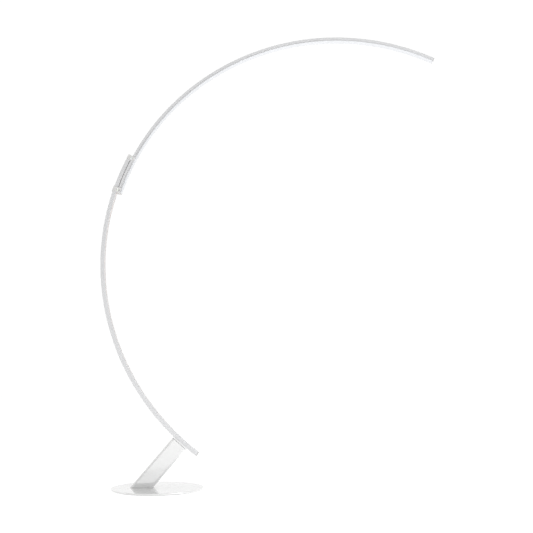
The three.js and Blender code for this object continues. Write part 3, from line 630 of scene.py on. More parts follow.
def collar_screw_placing(node):
    """From the collar's side inwards."""
    middle = middle_of(node)
    outwards = 1 if middle.y > 0 else -1
    place = Vector((middle.x, outwards * COLLAR.half, middle.z))
    return Matrix.Translation(place) @ Matrix.Rotation(math.radians(90 * outwards), 4, "X")


BASE_BOLTS = Screws(
    countersunk,
    base_bolt_placing,
    STAND,
    [f"base_bolt_{k}" for k in (1, 2, 3, 4)],
    thread=6 * MM,
    length=19.7 * MM,
    hole=25 * MM,
)
STEM_SCREWS = Screws(
    pan_head,
    stem_screw_placing,
    STAND,
    [f"stem_screw_{k}" for k in (1, 2, 3, 4)],
    thread=5 * MM,
    length=12 * MM,
)
SADDLE_BOLTS = Screws(
    countersunk,
    saddle_bolt_placing,
    STAND,
    ["saddle_bolt_1", "saddle_bolt_2"],
    thread=5 * MM,
    length=36 * MM,
    hole=38 * MM,
)
GUIDE_SCREWS = Screws(
    countersunk,
    guide_screw_placing,
    STAND,
    ["guide_screw_1", "guide_screw_2"],
    thread=3 * MM,
    length=8 * MM,
    hole=9 * MM,
)
COLLAR_SCREWS = Screws(
    countersunk,
    collar_screw_placing,
    ARC,
    ["collar_screw_front", "collar_screw_rear"],
    thread=2.5 * MM,
    length=8 * MM,
    hole=9 * MM,
)


# ---- Finishes ---------------------------------------------------------------------------------------


class Recipe:
    """A finish under construction: one shader with constant settings, and the patterns that vary it."""

    def __init__(self, name, base, roughness, **settings):
        self.finish = bpy.data.materials.new(name)
        self.finish.use_nodes = True
        self.nodes = self.finish.node_tree.nodes
        self.links = self.finish.node_tree.links
        self.shader = self.nodes["Principled BSDF"]
        self.base = base
        self.roughness = roughness
        self.shader.inputs["Base Color"].default_value = (*base, 1)
        self.shader.inputs["Roughness"].default_value = roughness
        for socket, value in settings.items():
            self.shader.inputs[socket.replace("_", " ")].default_value = value
        self.places = self.add("ShaderNodeTexCoord").outputs["Object"]
        self.bumps = None

    def add(self, kind, **values):
        """A new node. A value goes to the input of that name, or is linked to it when it is an output."""
        node = self.nodes.new(kind)
        for name, value in values.items():
            self.feed(node.inputs[name.replace("_", " ")], value)
        return node

    def feed(self, socket, value):
        if isinstance(value, bpy.types.NodeSocket):
            self.links.new(value, socket)
        else:
            socket.default_value = value

    def sum_up(self, operation, first, second=0.0):
        """One step of arithmetic."""
        node = self.nodes.new("ShaderNodeMath")
        node.operation = operation
        self.feed(node.inputs[0], first)
        self.feed(node.inputs[1], second)
        return node.outputs[0]

    def noise(self, scale, detail=3.0, places=None):
        """Cloudy noise, so many patches to the metre."""
        vector = places or self.places
        return self.add("ShaderNodeTexNoise", Vector=vector, Scale=scale, Detail=detail).outputs["Fac"]

    def ramp(self, value, low, high, start=0.35, end=0.65):
        """A pattern's values between start and end, brought to low and high."""
        node = self.add("ShaderNodeMapRange", Value=value)
        for name, number in (("From Min", start), ("From Max", end), ("To Min", low), ("To Max", high)):
            node.inputs[name].default_value = number
        return node.outputs["Result"]

    def along_bend(self, across, along):
        """Places as radius, angle and depth about the bends' centre, scaled for fine drawn lines."""
        moved = self.add("ShaderNodeMapping", Vector=self.places, Location=-CENTRE).outputs["Vector"]
        parts = self.add("ShaderNodeSeparateXYZ", Vector=moved).outputs
        sideways, upwards = (self.sum_up("POWER", parts[axis], 2.0) for axis in "XZ")
        squares = self.sum_up("ADD", sideways, upwards)
        angle = self.sum_up("ARCTAN2", parts["Z"], parts["X"])
        radius = self.sum_up("MULTIPLY", self.sum_up("SQRT", squares), across)
        turn = self.sum_up("MULTIPLY", angle, along)
        depth = self.sum_up("MULTIPLY", parts["Y"], across)
        return self.add("ShaderNodeCombineXYZ", X=radius, Y=turn, Z=depth).outputs["Vector"]

    def tint(self, pattern, other):
        """Lets a pattern move the colour from the base colour to another one."""
        node = self.nodes.new("ShaderNodeMix")
        node.data_type = "RGBA"
        came_from = self.shader.inputs["Base Color"].links
        first = came_from[0].from_socket if came_from else (*self.base, 1)
        self.feed(node.inputs[0], pattern)
        self.feed(node.inputs[6], first)
        self.feed(node.inputs[7], (*other, 1))
        self.links.new(node.outputs[2], self.shader.inputs["Base Color"])
        return self

    def shade_of(self, factor):
        """The base colour, darker or lighter."""
        return tuple(min(part * factor, 1.0) for part in self.base)

    def gloss(self, pattern, change):
        """Lets a pattern make the surface duller by so much at the most."""
        made = self.ramp(pattern, self.roughness - change / 2, self.roughness + change / 2)
        self.links.new(made, self.shader.inputs["Roughness"])
        return self

    def grain(self, pattern, depth, strength=0.6):
        """Lets a pattern raise and lower the surface by this depth."""
        bump = self.add("ShaderNodeBump", Height=pattern, Distance=depth, Strength=strength)
        if self.bumps:
            self.links.new(self.bumps, bump.inputs["Normal"])
        self.bumps = bump.outputs["Normal"]
        self.links.new(self.bumps, self.shader.inputs["Normal"])
        return self


def kept(make):
    """Makes a finish at its first use and hands the same one out afterwards."""
    made = []

    def give():
        if not made:
            made.append(make().finish)
        return made[0]

    return give


@kept
def gloss_lacquer():
    """Thick white lacquer on steel: a faint orange peel, and dull smudges where it is handled."""
    coat = {"Coat_Weight": 1.0, "Coat_Roughness": 0.012, "Coat_IOR": 2.6}
    recipe = Recipe("Gloss lacquer", colours().lacquer, 0.2, **coat)
    recipe.tint(recipe.ramp(recipe.noise(9), 0, 1), recipe.shade_of(0.98))
    recipe.gloss(recipe.noise(35, 6), 0.1)
    recipe.grain(recipe.noise(420, 2), 0.05 * MM, 0.12)
    return recipe.grain(recipe.noise(2400, 2), 0.02 * MM, 0.1)


@kept
def satin_lacquer():
    """White lacquer on a drawn profile: fine lines along the bend show through it."""
    recipe = Recipe("Satin lacquer", colours().profile, 0.32, Coat_Weight=0.15, Coat_Roughness=0.2)
    lines = recipe.noise(1, 3, recipe.along_bend(900, 14))
    recipe.tint(recipe.ramp(recipe.noise(7), 0, 1), recipe.shade_of(0.975))
    recipe.tint(recipe.ramp(lines, 0, 0.3, 0.4, 0.75), recipe.shade_of(1.015))
    recipe.gloss(recipe.noise(60, 5), 0.08)
    recipe.grain(lines, 0.02 * MM, 0.08)
    return recipe.grain(recipe.noise(1800, 2), 0.02 * MM, 0.1)


@kept
def moulded_plastic():
    """Moulded plastic with a fine eroded texture."""
    recipe = Recipe("Moulded plastic", colours().plastic, 0.46)
    recipe.tint(recipe.ramp(recipe.noise(24), 0, 1), recipe.shade_of(0.96))
    recipe.gloss(recipe.noise(150, 4), 0.12)
    return recipe.grain(recipe.noise(3200, 4), 0.03 * MM, 0.45)


@kept
def nylon():
    """Milky runner nylon with sliding marks along the bend."""
    recipe = Recipe("Runner nylon", colours().nylon, 0.4, Subsurface_Weight=0.15, Subsurface_Scale=0.002)
    lines = recipe.noise(1, 2, recipe.along_bend(1500, 20))
    recipe.tint(recipe.ramp(recipe.noise(60), 0, 1), recipe.shade_of(0.97))
    recipe.gloss(lines, 0.16)
    return recipe.grain(lines, 0.02 * MM, 0.3)


@kept
def opal_cover():
    """Opal acrylic over the strip: milky, with a satin skin and faint drawn lines along the bend."""
    glow = colours().glow
    recipe = Recipe("Opal acrylic", colours().cover, 0.28, Emission_Strength=glow, IOR=1.49)
    recipe.shader.inputs["Emission Color"].default_value = (0.9, 0.96, 1.0, 1)
    lines = recipe.noise(1, 2, recipe.along_bend(700, 10))
    recipe.tint(recipe.ramp(recipe.noise(16), 0, 1), recipe.shade_of(0.975))
    recipe.gloss(recipe.noise(80, 4), 0.08)
    return recipe.grain(lines, 0.02 * MM, 0.12)


@kept
def zinc():
    """Bright zinc plating, slightly cloudy."""
    recipe = Recipe("Zinc plating", (0.8, 0.81, 0.83), 0.42, Metallic=1.0)
    recipe.tint(recipe.ramp(recipe.noise(500, 4), 0, 1), (0.68, 0.69, 0.72))
    recipe.gloss(recipe.noise(900, 5), 0.2)
    return recipe.grain(recipe.noise(5200, 2), 0.02 * MM, 0.3)


@kept
def bare_aluminium():
    """Sawn and milled aluminium with tool marks."""
    recipe = Recipe("Bare aluminium", (0.72, 0.73, 0.74), 0.38, Metallic=1.0)
    stretched = recipe.add("ShaderNodeMapping", Vector=recipe.places, Scale=(300, 300, 3000))
    marks = recipe.noise(1, 3, stretched.outputs["Vector"])
    recipe.tint(recipe.ramp(recipe.noise(70), 0, 1), (0.6, 0.61, 0.63))
    recipe.gloss(marks, 0.2)
    return recipe.grain(marks, 0.05 * MM, 0.5)


@kept
def black_foam():
    """Closed-cell foam, finely pitted."""
    recipe = Recipe("Black foam", (0.022, 0.022, 0.024), 0.88)
    cells = recipe.add("ShaderNodeTexVoronoi", Vector=recipe.places, Scale=1400.0).outputs["Distance"]
    recipe.tint(recipe.ramp(recipe.noise(130, 4), 0, 1), (0.045, 0.045, 0.047))
    recipe.gloss(recipe.noise(500), 0.1)
    return recipe.grain(cells, 0.25 * MM, 0.8)


@kept
def grey_rubber():
    """The sheath of the low voltage lead."""
    recipe = Recipe("Grey rubber", (0.1, 0.1, 0.107), 0.6)
    recipe.tint(recipe.ramp(recipe.noise(120), 0, 1), (0.14, 0.14, 0.147))
    recipe.gloss(recipe.noise(300, 4), 0.16)
    return recipe.grain(recipe.noise(2200, 3), 0.05 * MM, 0.5)


@kept
def board_white():
    """White solder mask, slightly blotched."""
    recipe = Recipe("Circuit board", (0.84, 0.84, 0.79), 0.5)
    recipe.tint(recipe.ramp(recipe.noise(300, 4), 0, 1), (0.78, 0.78, 0.72))
    recipe.gloss(recipe.noise(700), 0.14)
    return recipe.grain(recipe.noise(2600, 3), 0.03 * MM, 0.5)


@kept
def contact_copper():
    """Drawn copper, polished by the brushes and tarnished beside them."""
    recipe = Recipe("Contact copper", (0.86, 0.5, 0.36), 0.26, Metallic=1.0)
    lines = recipe.noise(1, 3, recipe.along_bend(2500, 18))
    recipe.tint(recipe.ramp(recipe.noise(40, 5), 0, 1), (0.55, 0.3, 0.2))
    recipe.gloss(lines, 0.2)
    return recipe.grain(lines, 0.02 * MM, 0.4)


# ---- The pieces -------------------------------------------------------------------------------------


def base_plate():
    """The round steel plate, with its rim rounded and its bolt holes countersunk from below."""
    middle = (BASE_LOW + BASE_HIGH) / 2
    foot = Vector((middle.x, middle.y, BASE_LOW.z))
    top = Vector((middle.x, middle.y, BASE_HIGH.z))
    radius = (BASE_HIGH.x - BASE_LOW.x) / 2
    plate = rod(foot, top, radius, sides=192)
    cut_out(plate, *BASE_BOLTS.holes())
    at_rim = lambda point: (point.co - middle).length > radius * 0.99
    with editing(plate):
        for height, rounding, segments in (
            (BASE_HIGH.z, sizes().rim_round, 6),
            (BASE_LOW.z, sizes().rim_round / 2, 3),
        ):
            choose("EDGE", lambda edge: all(abs(v.co.z - height) < TOUCH and at_rim(v) for v in edge.verts))
            bpy.ops.mesh.bevel(offset=rounding, segments=segments, affect="EDGES")
        choose("FACE", lambda face: face.normal.z > 0.99 and face.calc_area() > radius * radius)
        bpy.ops.mesh.inset(thickness=1.5 * MM)
    hand_over(plate, "round_base", STAND, "white_lacquered_steel", gloss_lacquer(), "base_plate")


def base_pad():
    """The foam pad under the plate, with a soft rim."""
    low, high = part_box("base_pad")
    middle = (low + high) / 2
    radius = (high.x - low.x) / 2
    pad = rod((middle.x, middle.y, low.z), (middle.x, middle.y, high.z), radius, sides=144)
    with editing(pad):
        choose("EDGE", lambda edge: rise(edge) < TOUCH)
        bpy.ops.mesh.bevel(offset=0.3 * MM, segments=3, affect="EDGES")
        choose("FACE", lambda face: abs(face.normal.z) > 0.99 and face.calc_area() > radius * radius)
        bpy.ops.mesh.inset(thickness=2 * MM)
    hand_over(pad, "base_foam", STAND, "black_foam", black_foam(), "base_pad")


def stem_tube():
    """The leaning tube: its corners are rounded, it is hollowed, leaned over, cut off level and bored."""
    spare = 40 * MM
    tube = block(TUBE.low - spare * Z_AXIS, TUBE.high)
    with editing(tube):
        choose("EDGE", lambda edge: rise(edge) > 100 * MM)
        bpy.ops.mesh.bevel(offset=sizes().stem_corner, segments=12, affect="EDGES")
        choose("FACE", lambda face: abs(face.normal.z) > 0.99)
        bpy.ops.mesh.inset(thickness=sizes().stem_wall)
        bpy.ops.mesh.delete(type="FACE")
        choose("EDGE", lambda edge: edge.is_boundary)
        bpy.ops.mesh.bridge_edge_loops()
    fix_in_place(tube, STEM)
    level = BASE_HIGH.z + SEAT_GAP
    with editing(tube):
        bpy.ops.mesh.select_all(action="SELECT")
        bpy.ops.mesh.bisect(plane_co=(0, 0, level), plane_no=Z_AXIS, clear_inner=True)
        choose("EDGE", lambda edge: edge.is_boundary)
        bpy.ops.mesh.bridge_edge_loops()
        close_up()
    bores = []
    widths = {"cord_inlet": 10.6 * MM, **dict.fromkeys(STEM_SCREWS.nodes, BOLT_BORE)}
    for node, width in widths.items():
        place = Upright(node).middle
        start = Vector((place.x, TUBE.high.y - 12 * MM, place.z))
        bores.append(fix_in_place(rod(start, start + 22 * MM * Y_AXIS, width / 2), STEM))
    cut_out(tube, *bores)
    soften(tube, sizes().edge_round)
    hand_over(tube, "stem", STAND, "white_lacquered_profile", gloss_lacquer(), "stem_tube")


def cord_inlet():
    """The snap-in bush in the stem's back: a soft flange, and a neck with a catch behind the wall."""
    part = Upright("cord_inlet")
    face, wall = part.high.y, TUBE.high.y
    outer = part.size.x / 2
    neck, bore, catch = outer - 2.3 * MM, outer - 4 * MM, outer - 1.5 * MM
    at = lambda y: Vector((part.middle.x, y, part.middle.z))
    bush = rod(at(face), at(wall + SEAT_GAP), outer, sides=48)
    with editing(bush):
        choose("EDGE", lambda edge: all(abs(v.co.y - face) < TOUCH for v in edge.verts))
        bpy.ops.mesh.bevel(offset=0.9 * MM, segments=5, affect="EDGES")
        choose("FACE", facing(-Y_AXIS))
        bpy.ops.mesh.inset(thickness=outer - neck)
        reach, shoulder, taper = sizes().stem_wall + 2 * SEAT_GAP, 0.1 * MM, 1.4 * MM
        bpy.ops.mesh.extrude_region_move(TRANSFORM_OT_translate={"value": (0, -reach, 0)})
        bpy.ops.mesh.extrude_region_move(TRANSFORM_OT_translate={"value": (0, -shoulder, 0)})
        step = at(wall + SEAT_GAP - reach - shoulder)
        bpy.ops.transform.resize(value=(catch / neck, 1, catch / neck), center_override=step)
        bpy.ops.mesh.extrude_region_move(TRANSFORM_OT_translate={"value": (0, -taper, 0)})
        bpy.ops.transform.resize(value=(0.86, 1, 0.86), center_override=step - taper * Y_AXIS)
    cut_out(bush, rod(at(face + MM), at(part.low.y - 5 * MM), bore, sides=48))
    soften(bush, 0.25 * MM, 3)
    fix_in_place(bush, STEM)
    hand_over(bush, "cord_bush", STAND, "white_plastic", moulded_plastic(), "cord_inlet")


def saddle():
    """The cradle on the stem: a soft-edged block with a bent channel for the lower profile."""
    part = Upright("saddle")
    cradle = block(part.low, part.high)
    with editing(cradle):
        choose("EDGE", lambda edge: rise(edge) > 4 * MM)
        bpy.ops.mesh.bevel(offset=1.6 * MM, segments=4, affect="EDGES")
    fix_in_place(cradle, STEM)
    channel_in, channel_out = LOWER.inner - 25 * MM, LOWER.outer + SEAT_GAP
    channel = bent_bar(channel_in, channel_out, LOWER.half + SEAT_GAP, LOWER.end - 9, LOWER.end)
    cut_out(cradle, channel)
    passages = [(TUBE.low.x + LEAD_FROM_SIDE, LEAD_BORE)]
    passages += [(Upright(node).middle.x, BOLT_BORE) for node in SADDLE_BOLTS.nodes]
    bores = [rod((x, 0, part.low.z - MM), (x, 0, part.high.z), width / 2) for x, width in passages]
    cut_out(cradle, *[fix_in_place(bore, STEM) for bore in bores])
    soften(cradle, sizes().edge_round, 3)
    hand_over(cradle, "stem_saddle", STAND, "white_lacquered_steel", gloss_lacquer(), "saddle")


def lower_arc():
    """The closed lower profile. The contact rail's groove in its inner face ends before the saddle."""
    groove_floor, groove_half = RAIL.outer + SEAT_GAP, RAIL.half + SEAT_GAP
    groove_end = RAIL.end + 0.6
    slot_start, slot_end = groove_end - 0.57, groove_end - 0.1  # the slot for the rail's terminal
    radii = (groove_floor, HOLLOW_IN, HOLLOW_OUT)
    blank = sheet(LOWER.inner, LOWER.outer, LOWER.half, radii, [groove_half, HOLLOW_HALF])
    drop(blank, within(HOLLOW_IN, HOLLOW_OUT, HOLLOW_HALF))
    ease(blank, sizes().profile_round, lambda radius, side: radius > LOWER.middle_radius)
    ease(blank, sizes().seam_round, lambda radius, side: radius < LOWER.middle_radius, segments=2)
    outside_groove = lambda radius, side: radius > groove_floor or side > groove_half
    profile = bend(blank, LOWER.end, groove_end, (LOWER.start, outside_groove))
    soften(profile, sizes().edge_round / 2)
    slot = sheet(LOWER.inner - 3 * MM, HOLLOW_IN + MM, RAIL.half - 0.7 * MM)
    cutters = [bend(slot, slot_start, slot_end)]
    side, depth = TUBE.low.x + LEAD_FROM_SIDE, -LOWER.outer
    lead = rod((side, 0, depth - 5 * MM), (side, 0, depth + 8 * MM), LEAD_BORE / 2)
    cutters.append(fix_in_place(lead, STEM))
    cut_out(profile, *cutters, *SADDLE_BOLTS.holes(), *GUIDE_SCREWS.holes())
    hand_over(profile, "lower_bend", STAND, "white_lacquered_profile", satin_lacquer(), "lower_arc")


def end_cap(name, node, body, cover, plug, face, back):
    """A cap with a soft face over a profile's end, and a plug that reaches in from its face to its back."""
    inner, outer, half = plug
    blank = sheet(cover.inner, cover.outer, cover.half, [inner, outer], [half])
    ease(blank, sizes().profile_round)
    shoulder = face + math.copysign(span_of(CAP), back - face)
    cap = bend(blank, face, shoulder, (back, within(*plug)))
    soften(cap, CAP_ROUND, 3)
    hand_over(cap, name, body, "white_plastic", moulded_plastic(), node)


def foot_cap():
    """The cap at the foot end of the lower profile."""
    part = Bend("foot_cap")
    end_cap("foot_end_cap", "foot_cap", STAND, LOWER, LOWER_PLUG, part.end, part.start)


def slide_guide():
    """The end fitting of the lower profile: a head, two cheeks with lips in the grooves, and a plug."""
    cheek_end = GUIDE.start + span_of(GUIDE_CHEEKS, LOWER.outer)
    lip_in, lip_out = GROOVE_IN + PLAY, GROOVE_OUT - PLAY
    lip_side = LOWER.half - GROOVE_DEPTH + PLAY
    plug_in, plug_out, plug_half = LOWER_PLUG
    is_lip = lambda radius, side: lip_in < radius < lip_out and side > lip_side
    is_plug = within(*LOWER_PLUG)
    radii = (lip_in, lip_out, LOWER.inner, plug_in, plug_out)
    blank = sheet(GUIDE.inner, GUIDE.outer, GUIDE.half, radii, [plug_half, lip_side, CHEEK_IN])
    passage = lambda radius, side: radius < LOWER.inner and side < CHEEK_IN and not is_lip(radius, side)
    drop(blank, passage)
    ease(blank, 1.4 * MM, lambda radius, side: side > CHEEK_IN + MM)
    walls = lambda radius, side: side > CHEEK_IN or is_lip(radius, side) or is_plug(radius, side)
    guide = bend(blank, GUIDE.start, GUIDE_HEAD_END, (cheek_end, walls), (GUIDE.end, is_plug))
    soften(guide, sizes().edge_round)
    windows = two_sided(WINDOW_IN, WINDOW_OUT, CHEEK_IN - MM, CHEEK_IN + 4 * MM, *GUIDE_WINDOW)
    cut_out(guide, windows, *GUIDE_SCREWS.holes())
    hand_over(guide, "slide_end_fitting", STAND, "white_plastic", moulded_plastic(), "slide_guide")


def runner(name, node, body, window_start, window_end, passage=None):
    """A nylon runner between the two profiles, with an ear through a window on each side."""
    part = Bend(node)
    inner, outer = part.inner, LOWER.inner - SEAT_GAP
    neck = CHEEK_IN + SEAT_GAP
    ear_in, ear_out = WINDOW_IN + SEAT_GAP, WINDOW_OUT - SEAT_GAP
    blank = sheet(ear_in, ear_out, part.half, [inner, outer], [LOWER.half, neck])
    drop(blank, lambda radius, side: not inner < radius < outer and side < neck)
    ease(blank, 0.3 * MM, lambda radius, side: side > neck + MM)
    gap = span_of(SEAT_GAP)
    first, last = window_start + gap, window_end - gap
    is_bar = within(inner, outer, LOWER.half)
    bar = bend(blank, first, last)
    lengthen(bar, last, part.end, is_bar)
    lengthen(bar, first, part.start, is_bar)
    soften(bar, 0.15 * MM)
    if passage:
        cut_out(bar, passage)
    hand_over(bar, name, body, "nylon", nylon(), node)


def shoe_passage():
    """A cutter for the opening in the collar's runner that the contact shoe reaches through."""
    shoe = Bend("contact_shoe")
    gap = span_of(SEAT_GAP)
    inner, outer = UPPER.outer - 4 * MM, LOWER.inner + 4 * MM
    return bent_bar(inner, outer, shoe.half + SEAT_GAP, shoe.start - gap, shoe.end + gap)


def contact_rail():
    """The insulating rail in the lower profile's groove, with a slot for each conductor."""
    strip = Bend("rail_conductor_front")
    offset = abs(middle_of("rail_conductor_front").y)
    half_slot = strip.half - offset + SEAT_GAP
    floor = strip.inner + 0.9 * MM
    blank = sheet(RAIL.inner, RAIL.outer, RAIL.half, [floor], [offset - half_slot, offset + half_slot])
    drop(blank, lambda radius, side: radius < floor and abs(side - offset) < half_slot)
    ease(blank, 0.25 * MM, segments=3)
    rail = bend(blank, RAIL.start, RAIL.end)
    hand_over(rail, "insulating_rail", STAND, "white_plastic", moulded_plastic(), "contact_rail")
    for node, side in (("rail_conductor_front", -1), ("rail_conductor_rear", 1)):
        part = Bend(node)
        half = part.half - offset
        blank = sheet(part.inner, part.outer, half)
        ease(blank, 0.15 * MM, segments=2)
        fix_in_place(blank, Matrix.Translation((0, side * offset, 0)))
        wire = bend(blank, part.start, part.end)
        hand_over(wire, node.replace("rail_", "rail_strip_"), STAND, "copper", contact_copper(), node)


def upper_arc():
    """The channel that carries the light, with a groove along each side for the guide's lips."""
    floor = UPPER.outer - UPPER_FLOOR
    groove_floor = UPPER.half - GROOVE_DEPTH
    radii = (GROOVE_IN, GROOVE_OUT, floor)
    blank = sheet(UPPER.inner, UPPER.outer, UPPER.half, radii, [CHANNEL_HALF, groove_floor])
    drop(blank, lambda radius, side: radius < floor and side < CHANNEL_HALF)
    drop(blank, lambda radius, side: GROOVE_IN < radius < GROOVE_OUT and side > groove_floor)
    ease(blank, sizes().seam_round, lambda radius, side: radius > UPPER.middle_radius, segments=2)
    ease(blank, 0.25 * MM, lambda radius, side: radius < UPPER.middle_radius, segments=2)
    profile = bend(blank, UPPER.start, UPPER.end)
    soften(profile, 0.2 * MM)
    shoe_bore = rod((0, 0, -5 * MM), (0, 0, 7 * MM), 2.3 * MM)
    fix_in_place(shoe_bore, pointing_in(UPPER.outer, COLLAR.middle))
    cut_out(profile, shoe_bore, *COLLAR_SCREWS.holes())
    hand_over(profile, "upper_bend", ARC, "white_lacquered_profile", satin_lacquer(), "upper_arc")


def light_cover():
    """The opal cover: a plate over the channel's rim with two legs that clip inside it."""
    skin = COVER.inner + COVER_SKIN
    leg_out = CHANNEL_HALF - SEAT_GAP
    leg_in = leg_out - COVER_LEG
    blank = sheet(COVER.inner, COVER.outer, COVER.half, [skin], [leg_in, leg_out])
    drop(blank, lambda radius, side: radius > skin and not leg_in < side < leg_out)
    ease(blank, sizes().cover_round, lambda radius, side: radius < COVER.inner + MM, segments=6)
    ease(blank, 0.25 * MM, segments=2)
    cover = bend(blank, COVER.start, COVER.end)
    soften(cover, 0.2 * MM)
    hand_over(cover, "light_cover", ARC, "opal_acrylic", opal_cover(), "diffuser")


def led_strip():
    """The strip on the channel's floor, with its row of light chips."""
    part = Bend("led_strip")
    strip = bend(sheet(part.inner, part.outer, part.half), part.start, part.end)
    first, last = part.start + span_of(20 * MM), part.end - span_of(32 * MM)
    turn = span_of(sizes().chip_spacing, part.inner)
    half_long, half_wide, high, sunk = 1.4 * MM, 1.75 * MM, 0.7 * MM, 0.05 * MM
    chip = block((-half_long, -half_wide, 0), (half_long, half_wide, high + sunk))
    with editing(chip):
        choose("FACE", facing(Z_AXIS))
        bpy.ops.mesh.inset(thickness=0.35 * MM)
        bpy.ops.transform.translate(value=(0, 0, -0.15 * MM))
    places = [first + k * turn for k in range(int((last - first) / turn))]
    chips = [copy_to(chip, pointing_in(part.inner + sunk, place)) for place in places]
    bpy.data.objects.remove(chip)
    join([strip, *chips])
    hand_over(strip, "led_board", ARC, "circuit_board", board_white(), "led_strip")


def tip_cap():
    """The cap at the free end, over the upper profile and its light cover."""
    part = Bend("tip_cap")
    end_cap("tip_end_cap", "tip_cap", ARC, part, UPPER_PLUG, part.start, part.end)


def tail_collar():
    """The collar that closes the upper profile's tail and slides round the lower profile."""
    wall_start = COLLAR.end - span_of(CAP, LOWER.outer)
    lid = UPPER.inner + MM
    passage_in, passage_out = UPPER.outer + SEAT_GAP, LOWER.outer + PLAY
    plug_in, plug_out, plug_half = UPPER_PLUG
    is_plug = within(*UPPER_PLUG)
    is_wall = lambda radius, side: side > CHEEK_IN or radius > passage_out
    radii = (lid, plug_in, plug_out, passage_in, passage_out)
    blank = sheet(COLLAR.inner, COLLAR.outer, COLLAR.half, radii, [plug_half, UPPER.half, CHEEK_IN])
    drop(blank, lambda radius, side: radius < lid and side > UPPER.half)
    drop(blank, within(passage_in, passage_out, CHEEK_IN))
    ease(blank, 1.6 * MM, lambda radius, side: side > CHEEK_IN + MM)
    ease(blank, 0.8 * MM, lambda radius, side: radius < lid)
    plug_end = COLLAR.start + span_of(2 * MM)
    walls_and_plug = lambda radius, side: is_wall(radius, side) or is_plug(radius, side)
    shell = bend(blank, COLLAR.end, wall_start, (plug_end, walls_and_plug), (COLLAR.start, is_wall))
    soften(shell, sizes().edge_round)
    pad_start, pad_end = COLLAR.middle - span_of(6 * MM), COLLAR.middle + span_of(6 * MM)
    pad_pocket = bent_bar(LOWER.outer, LOWER.outer + PLAY + 1.3 * MM, 8 * MM, pad_start, pad_end)
    windows = two_sided(WINDOW_IN, WINDOW_OUT, CHEEK_IN - MM, COLLAR.half + 2 * MM, *COLLAR_WINDOW)
    cut_out(shell, windows, pad_pocket, *COLLAR_SCREWS.holes())
    hand_over(shell, "slide_collar", ARC, "white_plastic", moulded_plastic(), "tail_collar")


# ---- Operators --------------------------------------------------------------------------------------


class LAMP_OT_base(bpy.types.Operator):
    """Round base plate, its foam pad and the four bolts that hold the stem"""

    bl_idname = "lamp.base"
    bl_label = "Base"

    def execute(self, context):
        base_plate()
        base_pad()
        BASE_BOLTS.fit()
        return {"FINISHED"}


class LAMP_OT_stem(bpy.types.Operator):
    """Leaning stem tube, the screws in its back and its cord bush"""

    bl_idname = "lamp.stem"
    bl_label = "Stem"

    def execute(self, context):
        stem_tube()
        STEM_SCREWS.fit()
        cord_inlet()
        return {"FINISHED"}


class LAMP_OT_saddle(bpy.types.Operator):
    """Saddle on the stem and the two bolts that hold the lower arc in it"""

    bl_idname = "lamp.saddle"
    bl_label = "Saddle"

    def execute(self, context):
        saddle()
        SADDLE_BOLTS.fit()
        return {"FINISHED"}


class LAMP_OT_lower_arc(bpy.types.Operator):
    """Lower arc with the cap at its foot end and the contact rail in its inner face"""

    bl_idname = "lamp.lower_arc"
    bl_label = "Lower Arc"

    def execute(self, context):
        lower_arc()
        foot_cap()
        contact_rail()
        return {"FINISHED"}


class LAMP_OT_end_fitting(bpy.types.Operator):
    """End fitting of the lower arc, its screws and its nylon runner"""

    bl_idname = "lamp.end_fitting"
    bl_label = "End Fitting"

    def execute(self, context):
        slide_guide()
        GUIDE_SCREWS.fit()
        runner("upper_runner", "guide_glide", STAND, *GUIDE_WINDOW)
        return {"FINISHED"}


class LAMP_OT_upper_arc(bpy.types.Operator):
    """Upper arc with its light strip, opal cover and end cap"""

    bl_idname = "lamp.upper_arc"
    bl_label = "Upper Arc"

    def execute(self, context):
        upper_arc()
        led_strip()
        light_cover()
        tip_cap()
        return {"FINISHED"}


class LAMP_OT_collar(bpy.types.Operator):
    """Collar at the upper arc's tail, its screws and its nylon runner"""

    bl_idname = "lamp.collar"
    bl_label = "Slide Collar"

    def execute(self, context):
        tail_collar()
        COLLAR_SCREWS.fit()
        runner("lower_runner", "tail_glide", ARC, *COLLAR_WINDOW, shoe_passage())
        return {"FINISHED"}


INNER_FINISHES = {
    "stem_foot_block": bare_aluminium,
    "stem_top_block": bare_aluminium,
    "lower_arc_insert": bare_aluminium,
    "led_driver": moulded_plastic,
    "rail_terminal": moulded_plastic,
    "contact_shoe": moulded_plastic,
    "driver_tape": black_foam,
    "brake_pad": black_foam,
    "low_voltage_lead": grey_rubber,
    "contact_brush_front": contact_copper,
    "contact_brush_rear": contact_copper,
}


class LAMP_OT_inner_parts(bpy.types.Operator):
    """Finishes for the parts inside the stem and the profiles, whose CAD shapes are kept"""

    bl_idname = "lamp.inner_parts"
    bl_label = "Inner Parts"

    def execute(self, context):
        for node, finish in INNER_FINISHES.items():
            materials = frame["nodes"][node].data.materials
            materials.clear()
            materials.append(finish())
        return {"FINISHED"}


# ---- Studio -----------------------------------------------------------------------------------------

CAMERA_PLACE = (0.4264, -2.77, 0.3726)
CAMERA_PITCH = math.radians(90) + 0.1836  # from looking straight down
CAMERA_LENS = 45.79
CAMERA_SENSOR = 36
FLOOR_ACROSS = 80
FLOOR_GLOW = 0.79  # with the light on it, this keeps the floor white up to the horizon
SKY_BRIGHT_SIDE = (-0.9, 1, 0)
SKY_DIM, SKY_BRIGHT = 0.2, 1.02
PANEL_PLACE = Vector((-1.067, -2.251, 0.01))
PANEL_TURN = math.radians(-67.4)


def softbox(name, place, target, size, watts, tone=(1, 1, 1)):
    """A square soft light that points at a target."""
    light = bpy.data.lights.new(name, "AREA")
    light.shape = "SQUARE"
    light.size = size
    light.energy = watts
    light.color = tone
    lamp = bpy.data.objects.new(name, light)
    bpy.context.scene.collection.objects.link(lamp)
    lamp.location = place
    lamp.rotation_euler = (Vector(target) - Vector(place)).to_track_quat("-Z", "Y").to_euler()
    lamp.visible_camera = False
    return lamp


